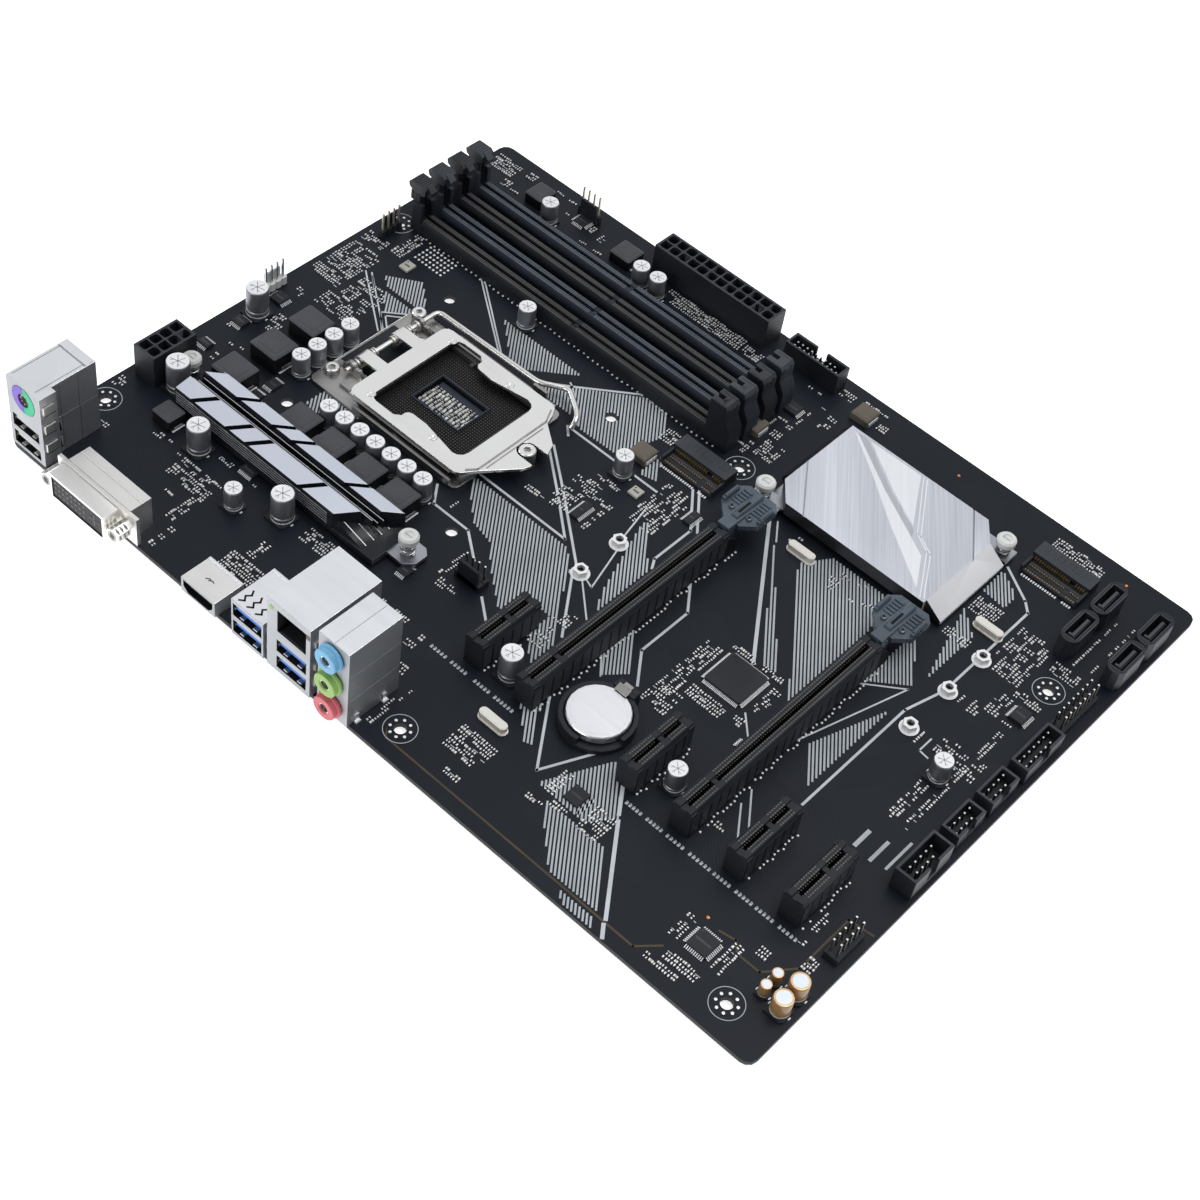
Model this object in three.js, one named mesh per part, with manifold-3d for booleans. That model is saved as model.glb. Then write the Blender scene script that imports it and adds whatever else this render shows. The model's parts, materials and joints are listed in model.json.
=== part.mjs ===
// ATX mainboard: a bare board laid flat, +X along the 304.8 mm edge towards the
// expansion slots, +Y from the rear connector edge to the front edge, +Z up.
// Millimetres. The shapes are laid out about the middle of the board, with z = 0
// on its top face, and the whole group is then moved so that its origin is the
// bottom centre of its box.
import * as THREE from "three";
import { mergeVertices } from "three/addons/utils/BufferGeometryUtils.js";
import Module from "manifold-3d";

const wasm = await Module();
wasm.setup();

// ---- Driving dimensions ------------------------------------------------------
const BOARD = { x: 304.8, y: 226, t: 1.6, corner: 3.5 };
const SCREW_HOLE = { r: 1.98, topR: 3.9, underR: 5, padT: 0.1 };
const SCREW_HOLES = [
  [135.89, -102.84],
  [11.43, -102.84],
  [-146.05, -79.98],
  [135.89, 52.1],
  [11.43, 52.1],
  [-146.05, 52.1],
];
const LEG = { r: 1, holeR: 1.45, below: 1.8 }; // connector legs through the board
const CPU = { x: -69.6, y: -0.15, body: 42.5, coolerPitch: 75, coolerR: 2.05 };
const PIVOT = { x: -102.5, z: 3.6, shaftR: 1, boreR: 1.35 }; // load plate and lever
const SHOULDER = { x: -36.5, y: 0.7, headR: 3, holeR: 1.9 };
const FRAME_SCREWS = [
  [-107.2, 22.6],
  [-107.2, -17.6],
];
const DIMM = { y0: 56.4, pitch: 9.4, width: 6.6, footX: -141.9, x1: 1.8, keyX: -66 };
const DIMM_HEIGHT = { body: 6, tower: 18.8, latch: 20.6 };
const DIMM_BODY = { x0: -137.4, x1: -5.6 };
const LATCH_PIVOT = { x: -140.3, z: 3.2 };
const PCIE = { y0: -70.55, width: 7.5, height: 11.25, short: 25, long: 89, keyY: -56.4 };
const PCIE_SHORT_X = [9, 69.9, 110.6, 130.9];
const PCIE_LONG_X = [29.3, 90.3];
const CARD_LATCH = { width: 15.6, length: 18.6, pivotY: 21.2, pivotZ: 3 };
const CELL = { x: 48.8, y: -59, r: 10, t: 3.2, z: 2.2 };
const POWER_PITCH = 4.2;
const JACKS = [
  ["audio_jack_line_in", 27.6, 0x6fb6dd],
  ["audio_jack_line_out", 16.8, 0x9cc885],
  ["audio_jack_microphone", 6, 0xd9727c],
];

// ---- Looks: colour, roughness, metalness ---------------------------------------
const LOOK = {
  board: [0x17181c, 0.45, 0],
  plastic: [0x1d1e22, 0.55, 0],
  ridge: [0x3a3e46, 0.55, 0],
  tin: [0xc9cacc, 0.35, 1],
  nickel: [0xd8d4cc, 0.25, 1],
  steel: [0x9b9da0, 0.4, 1],
  socket: [0x3b3836, 0.6, 0],
  sink: [0xc4c8cf, 0.4, 1],
  clear: [0x5f7184, 0.35, 0],
  white: [0xe9e9e6, 0.5, 0],
  chip: [0x25262a, 0.5, 0],
};

// ---- Shape helpers ---------------------------------------------------------------
function solid(geometry) {
  geometry.deleteAttribute("normal");
  geometry.deleteAttribute("uv");
  const merged = mergeVertices(geometry, 1e-4);
  return new wasm.Manifold(
    new wasm.Mesh({
      numProp: 3,
      vertProperties: merged.attributes.position.array,
      triVerts: new Uint32Array(merged.index.array),
    }),
  );
}

const middle = ([low, high]) => (low + high) / 2;
const span = ([low, high]) => high - low;

// A box from its three ranges.
function block(x, y, z) {
  const box = new THREE.BoxGeometry(span(x), span(y), span(z));
  return solid(box.translate(middle(x), middle(y), middle(z)));
}

// An upright cylinder, or a cone when the top radius differs.
function post(x, y, r, [z0, z1], sides = 12, topR = r) {
  const shape = new THREE.CylinderGeometry(topR, r, z1 - z0, sides).rotateX(Math.PI / 2);
  return solid(shape.translate(x, y, (z0 + z1) / 2));
}

// A cylinder along X or Y.
function bar(axis, along, [u, z], r, sides = 12) {
  const shape = new THREE.CylinderGeometry(r, r, span(along), sides);
  if (axis === "x") shape.rotateZ(Math.PI / 2).translate(middle(along), u, z);
  else shape.translate(u, middle(along), z);
  return solid(shape);
}

const outline = (points) => new THREE.Shape(points.map(([u, v]) => new THREE.Vector2(u, v)));

// A closed outline pushed up Z, or along X or Y with the outline in the other two.
function prism(points, [w0, w1], axis = "z") {
  const shape = new THREE.ExtrudeGeometry(outline(points), { depth: w1 - w0, bevelEnabled: false });
  shape.translate(0, 0, w0);
  const X = new THREE.Vector3(1, 0, 0);
  const Y = new THREE.Vector3(0, 1, 0);
  const Z = new THREE.Vector3(0, 0, 1);
  if (axis === "x") shape.applyMatrix4(new THREE.Matrix4().makeBasis(Y, Z, X));
  if (axis === "y") {
    shape.translate(0, 0, -w0 - w1);
    shape.applyMatrix4(new THREE.Matrix4().makeBasis(X, Z, Y.clone().negate()));
  }
  return solid(shape);
}

// A round solid from a half profile of [radius, height] points.
function turned(x, y, profile, sides = 12) {
  const points = profile.map(([r, z]) => new THREE.Vector2(r, z));
  const shape = new THREE.LatheGeometry(points, sides).rotateX(Math.PI / 2);
  return solid(shape.translate(x, y, 0));
}

const join = (first, ...rest) => rest.reduce((all, next) => all.add(next), first);
const cut = (first, ...rest) => rest.reduce((all, next) => all.subtract(next), first);

// The points of an arc about [u, v], from angle a0 to a1 in degrees.
function arc(u, v, r, a0, a1, steps) {
  const points = [];
  for (let i = 0; i <= steps; i += 1) {
    const a = THREE.MathUtils.degToRad(a0 + ((a1 - a0) * i) / steps);
    points.push([u + r * Math.cos(a), v + r * Math.sin(a)]);
  }
  return points;
}

// A rectangle with round corners, as points.
function rounded([x0, x1], [y0, y1], r, steps = 3) {
  return [
    ...arc(x1 - r, y0 + r, r, -90, 0, steps),
    ...arc(x1 - r, y1 - r, r, 0, 90, steps),
    ...arc(x0 + r, y1 - r, r, 90, 180, steps),
    ...arc(x0 + r, y0 + r, r, 180, 270, steps),
  ];
}

// ---- Scene helpers -----------------------------------------------------------------
const mainboard = new THREE.Group();
const layout = new THREE.Group(); // z = 0 on the top face of the board
layout.position.z = BOARD.t;
mainboard.add(layout);

function piece(name, shape, [color, roughness, metalness], at = [0, 0, 0]) {
  const { vertProperties, triVerts } = shape.getMesh();
  const geometry = new THREE.BufferGeometry();
  geometry.setAttribute("position", new THREE.BufferAttribute(new Float32Array(vertProperties), 3));
  geometry.setIndex(new THREE.BufferAttribute(new Uint32Array(triVerts), 1));
  geometry.computeVertexNormals();
  const material = new THREE.MeshStandardMaterial({ color, roughness, metalness });
  const mesh = new THREE.Mesh(geometry, material);
  mesh.name = name;
  mesh.position.set(...at);
  layout.add(mesh);
}

// Legs that stand through the board: the hole is kept for the board, and the leg
// is a solid to join to its connector, which sits at `at`.
const legHoles = [];
function legs(places, at = [0, 0]) {
  return places.map(([x, y]) => {
    legHoles.push([x + at[0], y + at[1]]);
    return post(x, y, LEG.r, [-BOARD.t - LEG.below, 0.4], 4);
  });
}

// ---- Processor socket ----------------------------------------------------------------
const SOCKET = {
  x: [CPU.x - CPU.body / 2, CPU.x + CPU.body / 2],
  y: [CPU.y - CPU.body / 2, CPU.y + CPU.body / 2],
};

function cpuSocket() {
  const inner = CPU.body / 2 - 2.2;
  const seat = [1.8, 4];
  const cavity = block([-80.7, -60.3], [-6.5, 7.4], [-1, 4]);
  const well = block([CPU.x - inner, CPU.x + inner], [CPU.y - inner, CPU.y + inner], seat);
  const notches = [-1, 1].map((side) =>
    block([CPU.x - 5, CPU.x + 5], [CPU.y + side * 20.2 - 2, CPU.y + side * 20.2 + 2], [2.4, 4]),
  );
  const keys = [-1, 1].map((side) =>
    block([-78.2, -76.8], [CPU.y + side * 18.2 - 1, CPU.y + side * 18.2 + 1], [1, 3.2]),
  );
  const body = block(SOCKET.x, SOCKET.y, [0, 3.4]);
  const frame = cut(body, cavity, well, ...notches);
  piece("cpu_socket", join(frame, ...keys), LOOK.socket);
}

// The steel frame round the socket, with two ears that carry the pivot shaft.
const EAR = { y: [-13.9, 17.6], t: 1.4 };
function socketFrame() {
  const plate = prism(rounded([-110.4, -43], [-25.4, 25.2], 2.5), [0, 1.3]);
  const gap = 0.4;
  const window = block(
    [SOCKET.x[0] - gap, SOCKET.x[1] + gap],
    [SOCKET.y[0] - gap, SOCKET.y[1] + gap],
    [-1, 3],
  );
  const hingeGap = block([-104.8, -94.5], [-11, 12.4], [-1, 3]);
  const { x, z, boreR } = PIVOT;
  const ear = [
    [x - 4, 0.8],
    [x + 6.5, 0.8],
    [x + 4, z + 1.2],
    ...arc(x, z, 2.6, 20, 160, 6),
    [x - 3.4, z],
  ];
  const ears = EAR.y.map((y) => prism(ear, [y, y + EAR.t], "y"));
  const rails = [
    [-25.4, -24.2],
    [24, 25.2],
  ].map((y) => block([-90, -46], y, [1, 3.2]));
  const catchTab = block([-56, -50], [24, 25.2], [1, 6.4]);
  const shaft = bar("y", [-30, 30], [x, z], boreR, 12);
  const holes = FRAME_SCREWS.map(([u, v]) => post(u, v, 1.9, [-1, 3]));
  const body = cut(join(plate, ...ears, ...rails, catchTab), window, hingeGap, shaft, ...holes);
  piece("socket_frame", body, LOOK.steel);
}

// The hinged plate that presses the processor down, drawn closed.
const PLATE = { z: [5.2, 6.4], x: [-94, -42.6], y: [-23.6, 22.1] };
function loadPlate() {
  const [x0, x1] = PLATE.x;
  const [y0, y1] = PLATE.y;
  const body = prism(
    [
      ...arc(x0 + 3, y0 + 3, 3, 180, 270, 3),
      ...arc(x1 - 4, y0 + 4, 4, 270, 315, 2),
      [-40.6, -17.5],
      [-32, -6.5],
      [-31, -4],
      [-31, 4.6],
      [-32.6, 8.6],
      [-40.4, 14.4],
      [-41.6, 18],
      ...arc(x1 - 3, y1 - 3, 3, 45, 90, 2),
      ...arc(x0 + 3, y1 - 3, 3, 90, 180, 3),
    ],
    PLATE.z,
  );
  const window = prism(
    [
      ...arc(-84.1, -17.1, 3, 180, 270, 3),
      [-76.4, -20.1],
      ...arc(-72, -17.6, 2.4, 200, 90, 3),
      [-66.4, -15.2],
      ...arc(-52, -14.2, 3.7, 270, 360, 3),
      ...arc(-52, 13.7, 3.7, 0, 90, 3),
      [-66.4, 15],
      ...arc(-72, 17.8, 2.4, 270, 160, 3),
      [-76.4, 20.4],
      ...arc(-84.1, 17.4, 3, 90, 180, 3),
    ],
    [4, 8],
  );
  const { x, y, headR } = SHOULDER;
  const notch = join(
    post(x, y, headR + 0.5, [4, 8], 20),
    block([x, x + 12], [y - headR - 0.5, y + headR + 0.5], [4, 8]),
  );
  const rib = [
    block([x0 + 1, x1 - 5], [y0, y0 + 1.2], [4.2, 6]),
    block([x0 + 1, x1 - 5], [y1 - 1.2, y1], [4.2, 6]),
  ];
  const knuckles = [
    [-10, -5],
    [6.4, 11.4],
  ].map((range) => knuckle(range, x0));
  piece("load_plate", cut(join(body, ...rib, ...knuckles), window, notch), LOOK.nickel);
}

// One hinge knuckle of the load plate: a strap that curls round the pivot shaft.
function knuckle(range, plateEdge) {
  const { x, z, boreR } = PIVOT;
  const outer = 2.4;
  const curl = [
    [plateEdge + 1, z + outer],
    ...arc(x, z, outer, 90, 300, 10),
    ...arc(x, z, boreR, 300, 90, 8),
    [plateEdge - 2.4, z + boreR],
    [plateEdge - 1, PLATE.z[0]],
    [plateEdge + 1, PLATE.z[0]],
  ];
  return prism(curl, range, "y");
}

// The wire lever, with its pivot shaft along Y and its arm beside the plate.
class BentWire extends THREE.Curve {
  constructor(corners, radius) {
    super();
    this.path = new THREE.CurvePath();
    const points = corners.map((c) => new THREE.Vector3(...c));
    let from = points[0];
    for (let i = 1; i < points.length - 1; i += 1) {
      const back = points[i].clone().lerp(points[i - 1], radius / points[i].distanceTo(points[i - 1]));
      const on = points[i].clone().lerp(points[i + 1], radius / points[i].distanceTo(points[i + 1]));
      this.path.add(new THREE.LineCurve3(from, back));
      this.path.add(new THREE.QuadraticBezierCurve3(back, points[i], on));
      from = on;
    }
    this.path.add(new THREE.LineCurve3(from, points[points.length - 1]));
  }

  getPoint(t) {
    return this.path.getPoint(t);
  }
}

function wire(corners, radius, bend, steps) {
  const section = outline(arc(0, 0, radius, 0, 300, 5));
  const extrudePath = new BentWire(corners, bend);
  return solid(new THREE.ExtrudeGeometry(section, { extrudePath, steps }));
}

function loadLever() {
  const { x, z, shaftR } = PIVOT;
  const corners = [
    [x, -16, z],
    [x, 27.2, z],
    [-56, 27.2, z + 1.2],
    [-47.4, 32.6, z + 1.2],
    [-38.4, 26.6, z + 1.2],
    [-36, 23.6, z + 0.6],
    [-36.6, 22, z - 1.4],
  ];
  piece("load_lever", wire(corners, shaftR, 2.2, 44), LOOK.nickel);
}

// A cap screw whose shank goes down through the board.
function capScrew(name, [x, y], { headR, head, shankR, bottom, seat }) {
  const drive = post(x, y, headR * 0.42, [head - 1.1, head + 1], 6);
  const body = turned(
    x,
    y,
    [
      [0, bottom],
      [shankR, bottom],
      [shankR, seat],
      [headR, seat],
      [headR, head - 0.4],
      [headR - 0.4, head],
      [0, head],
    ],
    14,
  );
  piece(name, cut(body, drive), LOOK.nickel);
}

// The steel plate under the board that the socket screws pull against.
function backplate() {
  const gap = 0.15;
  const top = -BOARD.t - gap;
  const body = prism(
    [
      ...arc(-108, -20.4, 4, 180, 270, 3),
      [-90, -24.4],
      [-86, -22],
      [-56, -22],
      [-38, -5.2],
      ...arc(-36.5, 0.7, 5.4, -60, 60, 4),
      [-38, 6.6],
      [-56, 24],
      [-86, 24],
      [-90, 26.6],
      ...arc(-108, 22.6, 4, 90, 180, 3),
    ],
    [-BOARD.t - LEG.below, top],
  );
  const window = prism(rounded([-92, -56], [-13, 15], 3), [-5, 0]);
  const holes = [...FRAME_SCREWS, [SHOULDER.x, SHOULDER.y]].map(([x, y]) =>
    post(x, y, 1.85, [-5, 0]),
  );
  piece("socket_backplate", cut(body, window, ...holes), LOOK.steel);
}

// ---- Memory slots ------------------------------------------------------------------------
function dimmSlots() {
  const { width, x1, keyX, footX } = DIMM;
  const half = width / 2;
  const { body, tower } = DIMM_HEIGHT;
  const rail = prism(
    [
      [-half, 0],
      [half, 0],
      [half, body - 1.6],
      [half - 0.9, body],
      [0.75, body],
      [0.75, 1.6],
      [-0.75, 1.6],
      [-0.75, body],
      [0.9 - half, body],
      [-half, body - 1.6],
    ],
    [DIMM_BODY.x0 - 0.5, DIMM_BODY.x1 + 0.5],
    "x",
  );
  const key = block([keyX - 0.7, keyX + 0.7], [-1, 1], [1, body - 0.4]);
  const tip = [DIMM_BODY.x1, x1];
  const fixedTower = cut(
    prism(
      [
        [tip[0], 0],
        [tip[1] + 2.4, 0],
        [tip[1] + 2.4, 9],
        [tip[1], 13],
        [tip[1], tower],
        [tip[0], tower],
      ],
      [-half, half],
      "y",
    ),
    block([tip[0] - 1, tip[0] + 3.2], [-0.95, 0.95], [1.6, tower + 1]),
    prism(
      [
        [tip[1] - 1.6, tower + 1],
        [tip[1] + 1, tower - 3],
        [tip[1] + 1, tower + 1],
      ],
      [-half - 1, half + 1],
      "y",
    ),
  );
  const cheeks = [-1, 1].map((side) => {
    const y = side < 0 ? [-half, -1.75] : [1.75, half];
    return prism(
      [
        [footX, 0],
        [DIMM_BODY.x0, 0],
        [DIMM_BODY.x0, 12.4],
        [footX + 0.8, 12.4],
        [footX, 8],
      ],
      y,
      "y",
    );
  });
  const floor = block([footX, DIMM_BODY.x0], [-half, half], [0, 1]);
  const pin = join(
    bar("y", [-1.8, -1.15], [LATCH_PIVOT.x, LATCH_PIVOT.z], 0.8, 8),
    bar("y", [1.15, 1.8], [LATCH_PIVOT.x, LATCH_PIVOT.z], 0.8, 8),
  );
  const footing = [
    [footX + 3.4, 0],
    [keyX, 0],
    [-2, 0],
  ];
  for (let i = 0; i < 4; i += 1) {
    const y = DIMM.y0 + i * DIMM.pitch;
    const slot = join(rail, key, fixedTower, ...cheeks, floor, pin, ...legs(footing, [0, y]));
    piece("dimm_slot_" + (i + 1), slot, i % 2 ? LOOK.ridge : LOOK.plastic, [0, y, 0]);
    piece("dimm_latch_" + (i + 1), dimmLatch(), i % 2 ? LOOK.ridge : LOOK.plastic, [0, y, 0]);
  }
}

// The ejector at the -X end of a memory slot: it tips outwards on two pins.
function dimmLatch() {
  const { x, z } = LATCH_PIVOT;
  const { latch } = DIMM_HEIGHT;
  const stem = prism(
    [
      [x - 1.4, z - 1.2],
      [x + 0.8, z - 1.6],
      [-138.4, 2.6],
      [-138.3, 4],
      [-138.6, 6],
      [-138.6, 15.2],
      [-134.9, 17],
      [-134.9, 18.6],
      [-137, latch],
      [-143.4, latch],
      [-144.6, latch - 1.2],
      [-144.2, 17.6],
      [x - 1.6, 15.6],
    ],
    [-1.45, 1.45],
    "y",
  );
  const head = prism(
    [
      [-136.6, 17.2],
      [-136.6, 19.6],
      [-137.6, latch],
      [-143.4, latch],
      [-144.6, latch - 1.2],
      [-144.2, 17.6],
      [-142, 16.4],
      [-138, 16.4],
    ],
    [-2.9, 2.9],
    "y",
  );
  const bore = bar("y", [-2, 2], [x, z], 1.15, 8);
  const core = block([x - 1.2, x + 1.2], [-0.85, 0.85], [z - 1.1, z + 1.2]);
  const groove = block([-139.2, -133], [-0.8, 0.8], [5, 16.4]);
  return join(cut(join(stem, head), bore, groove), core);
}

// ---- Expansion slots --------------------------------------------------------------------
function pcieBody(length) {
  const { width, height, y0, keyY } = PCIE;
  const half = width / 2;
  const y1 = y0 + length;
  const shell = prism(
    [
      [-half, 0.4],
      [half, 0.4],
      [half, height - 1.4],
      [half - 0.8, height],
      [0.95, height],
      [0.95, 2.6],
      [-0.95, 2.6],
      [-0.95, height],
      [0.8 - half, height],
      [-half, height - 1.4],
    ],
    [0, length],
    "y",
  ).translate([0, y0, 0]);
  const ends = [
    block([-half, half], [y0, y0 + 2.4], [0, height - 0.6]),
    block([-half, half], [y1 - 2.4, y1], [0, height - 0.6]),
  ];
  const key = block([-1.2, 1.2], [keyY - 0.9, keyY + 0.9], [0.4, height - 0.6]);
  const foot = block([-half + 0.8, half - 0.8], [y0 + 0.6, y1 - 0.6], [0, 0.6]);
  return join(shell, ...ends, key, foot);
}

function pcieSlots() {
  const { y0, short, long, keyY } = PCIE;
  PCIE_SHORT_X.forEach((x, i) => {
    const footing = [
      [0, y0 + 1.6],
      [0, y0 + short - 1.6],
    ];
    const slot = join(pcieBody(short), ...legs(footing, [x, 0]));
    piece("pcie_x1_slot_" + (i + 1), slot, LOOK.plastic, [x, 0, 0]);
  });
  PCIE_LONG_X.forEach((x, i) => {
    const footing = [
      [0, y0 + 1.6],
      [0, keyY],
      [0, y0 + long - 1.6],
    ];
    const slot = join(pcieBody(long), latchSeat(y0 + long), ...legs(footing, [x, 0]));
    piece("pcie_x16_slot_" + (i + 1), slot, LOOK.plastic, [x, 0, 0]);
    piece("pcie_x16_latch_" + (i + 1), cardLatch(), LOOK.clear, [x, 0, 0]);
  });
}

// The two cheeks at the slot's far end that hold the latch's pins.
function latchSeat(y) {
  const { pivotY, pivotZ } = CARD_LATCH;
  const cheek = [
    [y - 1, 0],
    [pivotY + 2.6, 0],
    [pivotY + 2.6, pivotZ + 1.4],
    [y + 1, 8.4],
    [y - 1, 8.4],
  ];
  return join(
    prism(cheek, [-3.75, -2.75], "x"),
    prism(cheek, [2.75, 3.75], "x"),
    bar("x", [-2.9, -1.95], [pivotY, pivotZ], 0.8, 8),
    bar("x", [1.95, 2.9], [pivotY, pivotZ], 0.8, 8),
  );
}

// The card latch: an arm with a hook over the slot's end and a wide finger paddle.
function cardLatch() {
  const { width, length, pivotY, pivotZ } = CARD_LATCH;
  const tipY = pivotY + length;
  const arm = prism(
    [
      [pivotY - 1.5, pivotZ - 1.3],
      [pivotY + 1.5, pivotZ - 1.3],
      [pivotY + 4.4, 7.6],
      [tipY, 8.4],
      [tipY, 10.4],
      [pivotY + 3, 11.4],
      [pivotY - 1.6, 11.6],
      [pivotY - 1.9, 9.6],
      [pivotY - 1.6, 5],
    ],
    [-2.3, 2.3],
    "x",
  );
  const paddle = prism(
    [
      [-3.2, pivotY + 2.4],
      [3.2, pivotY + 2.4],
      [width / 2, pivotY + 7],
      [width / 2, tipY - 2.5],
      [width / 2 - 2.4, tipY],
      [2.4 - width / 2, tipY],
      [-width / 2, tipY - 2.5],
      [-width / 2, pivotY + 7],
    ],
    [8.6, 10.6],
  );
  const wings = [-1, 1].map((side) => {
    const x = side < 0 ? [-width / 2, 1.4 - width / 2] : [width / 2 - 1.4, width / 2];
    return block(x, [pivotY + 7, tipY - 4], [9, 12.2]);
  });
  const bore = bar("x", [-3, 3], [pivotY, pivotZ], 1.15, 10);
  const core = block([-1.6, 1.6], [pivotY - 1.2, pivotY + 1.3], [pivotZ - 1.2, pivotZ + 1.3]);
  return join(cut(join(arm, paddle, ...wings), bore), core);
}

// ---- Power connectors -----------------------------------------------------------------------
// A shrouded header with columns along `axis` and two rows of square wells.
function powerHeader(columns, axis, height = 12.8) {
  const wall = 0.55;
  const long = columns * POWER_PITCH + 1.2;
  const wide = 2 * POWER_PITCH + 1.2;
  const body = block([-long / 2, long / 2], [-wide / 2, wide / 2], [0, height]);
  const well = POWER_PITCH / 2 - wall / 2;
  const wells = [];
  for (let i = 0; i < columns; i += 1) {
    for (const y of [-POWER_PITCH / 2, POWER_PITCH / 2]) {
      const x = (i - (columns - 1) / 2) * POWER_PITCH;
      wells.push(block([x - well, x + well], [y - well, y + well], [2.4, height + 1]));
    }
  }
  const ledge = block([-3, 3], [wide / 2 - 0.2, wide / 2 + 1.4], [6.2, height - 2.4]);
  const shape = cut(join(body, ledge), ...wells);
  return axis === "x" ? shape : shape.rotate([0, 0, 90]);
}

function powerConnectors() {
  const main = [-45, 106.1];
  const mainLegs = legs(
    [
      [-22, 0],
      [22, 0],
    ],
    main,
  );
  piece("atx_power_connector", join(powerHeader(12, "x"), ...mainLegs), LOOK.plastic, [...main, 0]);
  const cpu = [-144.3, -56.3];
  const cpuLegs = legs(
    [
      [0, -6.4],
      [0, 6.4],
    ],
    cpu,
  );
  piece("cpu_power_connector", join(powerHeader(4, "y"), ...cpuLegs), LOOK.plastic, [...cpu, 0]);
}

// ---- Heatsinks ---------------------------------------------------------------------------
const VRM = {
  x: [-128, -41],
  y: [-66.5, -49.4],
  valley: [-59.6, -55.6],
  slant: 1.13, // rise in y for each step in x of the cuts across the ridges
  strip: [-130.8, -50.2],
  grooves: [-115.7, -99.6, -90.6, -66.4],
  grooveWidth: 2.1,
  tab: [-38, -28.7],
};

// A strip of the slanting cuts that cross the VRM heatsink, `w` wide at x on y = -60.
function slantStrip(x, w, [z0, z1]) {
  const reach = 12;
  const y = -60;
  return prism(
    [
      [x - reach / VRM.slant, y - reach],
      [x + w - reach / VRM.slant, y - reach],
      [x + w + reach / VRM.slant, y + reach],
      [x + reach / VRM.slant, y + reach],
    ],
    [z0, z1],
  );
}

function vrmHeatsink() {
  const [y0, y1] = VRM.y;
  const [v0, v1] = VRM.valley;
  const ridges = prism(
    [
      [y0, 2],
      [y0, 9],
      [y0 + 0.4, 9.8],
      [v0 - 0.4, 10.8],
      [v0, 10.2],
      [v0 + 0.4, 5.6],
      [v1 - 0.4, 5.6],
      [v1, 10.2],
      [v1 + 0.4, 10.8],
      [y1 - 0.4, 9.8],
      [y1, 9],
      [y1, 2],
    ],
    VRM.x,
    "x",
  );
  const slanted = ridges.intersect(slantStrip(VRM.strip[0], span(VRM.strip), [0, 14]));
  const grooves = VRM.grooves.map((x) => slantStrip(x, VRM.grooveWidth, [8.4, 14]));
  const base = block([-128.5, VRM.tab[0]], VRM.y, [1, 3.2]);
  const slope = prism(
    [
      [-70, 3],
      [-43, 3],
      [-60, 8],
      [-70, 8],
    ],
    [y0 + 1, y1 - 1],
    "y",
  );
  const tabs = [
    prism(
      [
        [VRM.tab[0] - 1, -60],
        [-31.5, -60],
        [VRM.tab[1], -57],
        [VRM.tab[1], -52],
        [-31, -50],
        [VRM.tab[0] - 1, -50],
      ],
      [1, 2.4],
    ),
    block([-139.2, -128], [-55.8, -49.4], [1, 2.4]),
  ];
  const pads = block([-120, -46], [-64, -53], [0, 1.2]);
  const pinHoles = VRM_PINS.map(([x, y]) => post(x, y, PUSH_PIN.clear, [0, 4], 12));
  const body = cut(join(slanted, base, slope, ...tabs, pads), ...grooves, ...pinHoles);
  piece("vrm_heatsink", body, LOOK.sink);
}

const PUSH_PIN = { r: 1.35, clear: 1.7, headR: 3.3 };
const VRM_PINS = [
  [-33.5, -55.6],
  [-136, -52.6],
];
const CHIPSET_PINS = [
  [25.2, 47],
  [93.4, 86.2],
];

// A plastic push pin standing in a heatsink tab, with its spring as a plain sleeve.
function pushPin(name, [x, y], height) {
  const { r, headR } = PUSH_PIN;
  const z0 = 2.4 + 0.05;
  const body = turned(x, y, [
    [0, -BOARD.t - 1.6],
    [0.5, -BOARD.t - 1.6],
    [r, -BOARD.t],
    [r, z0],
    [2.5, z0],
    [2.5, height - 2.6],
    [headR, height - 2.4],
    [headR, height - 0.6],
    [headR - 0.6, height],
    [0, height],
  ]);
  piece(name, body, LOOK.white);
}

const CHIPSET = { x: [24.8, 97.2], y: [45.4, 89.6], top: 7.2 };
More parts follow.
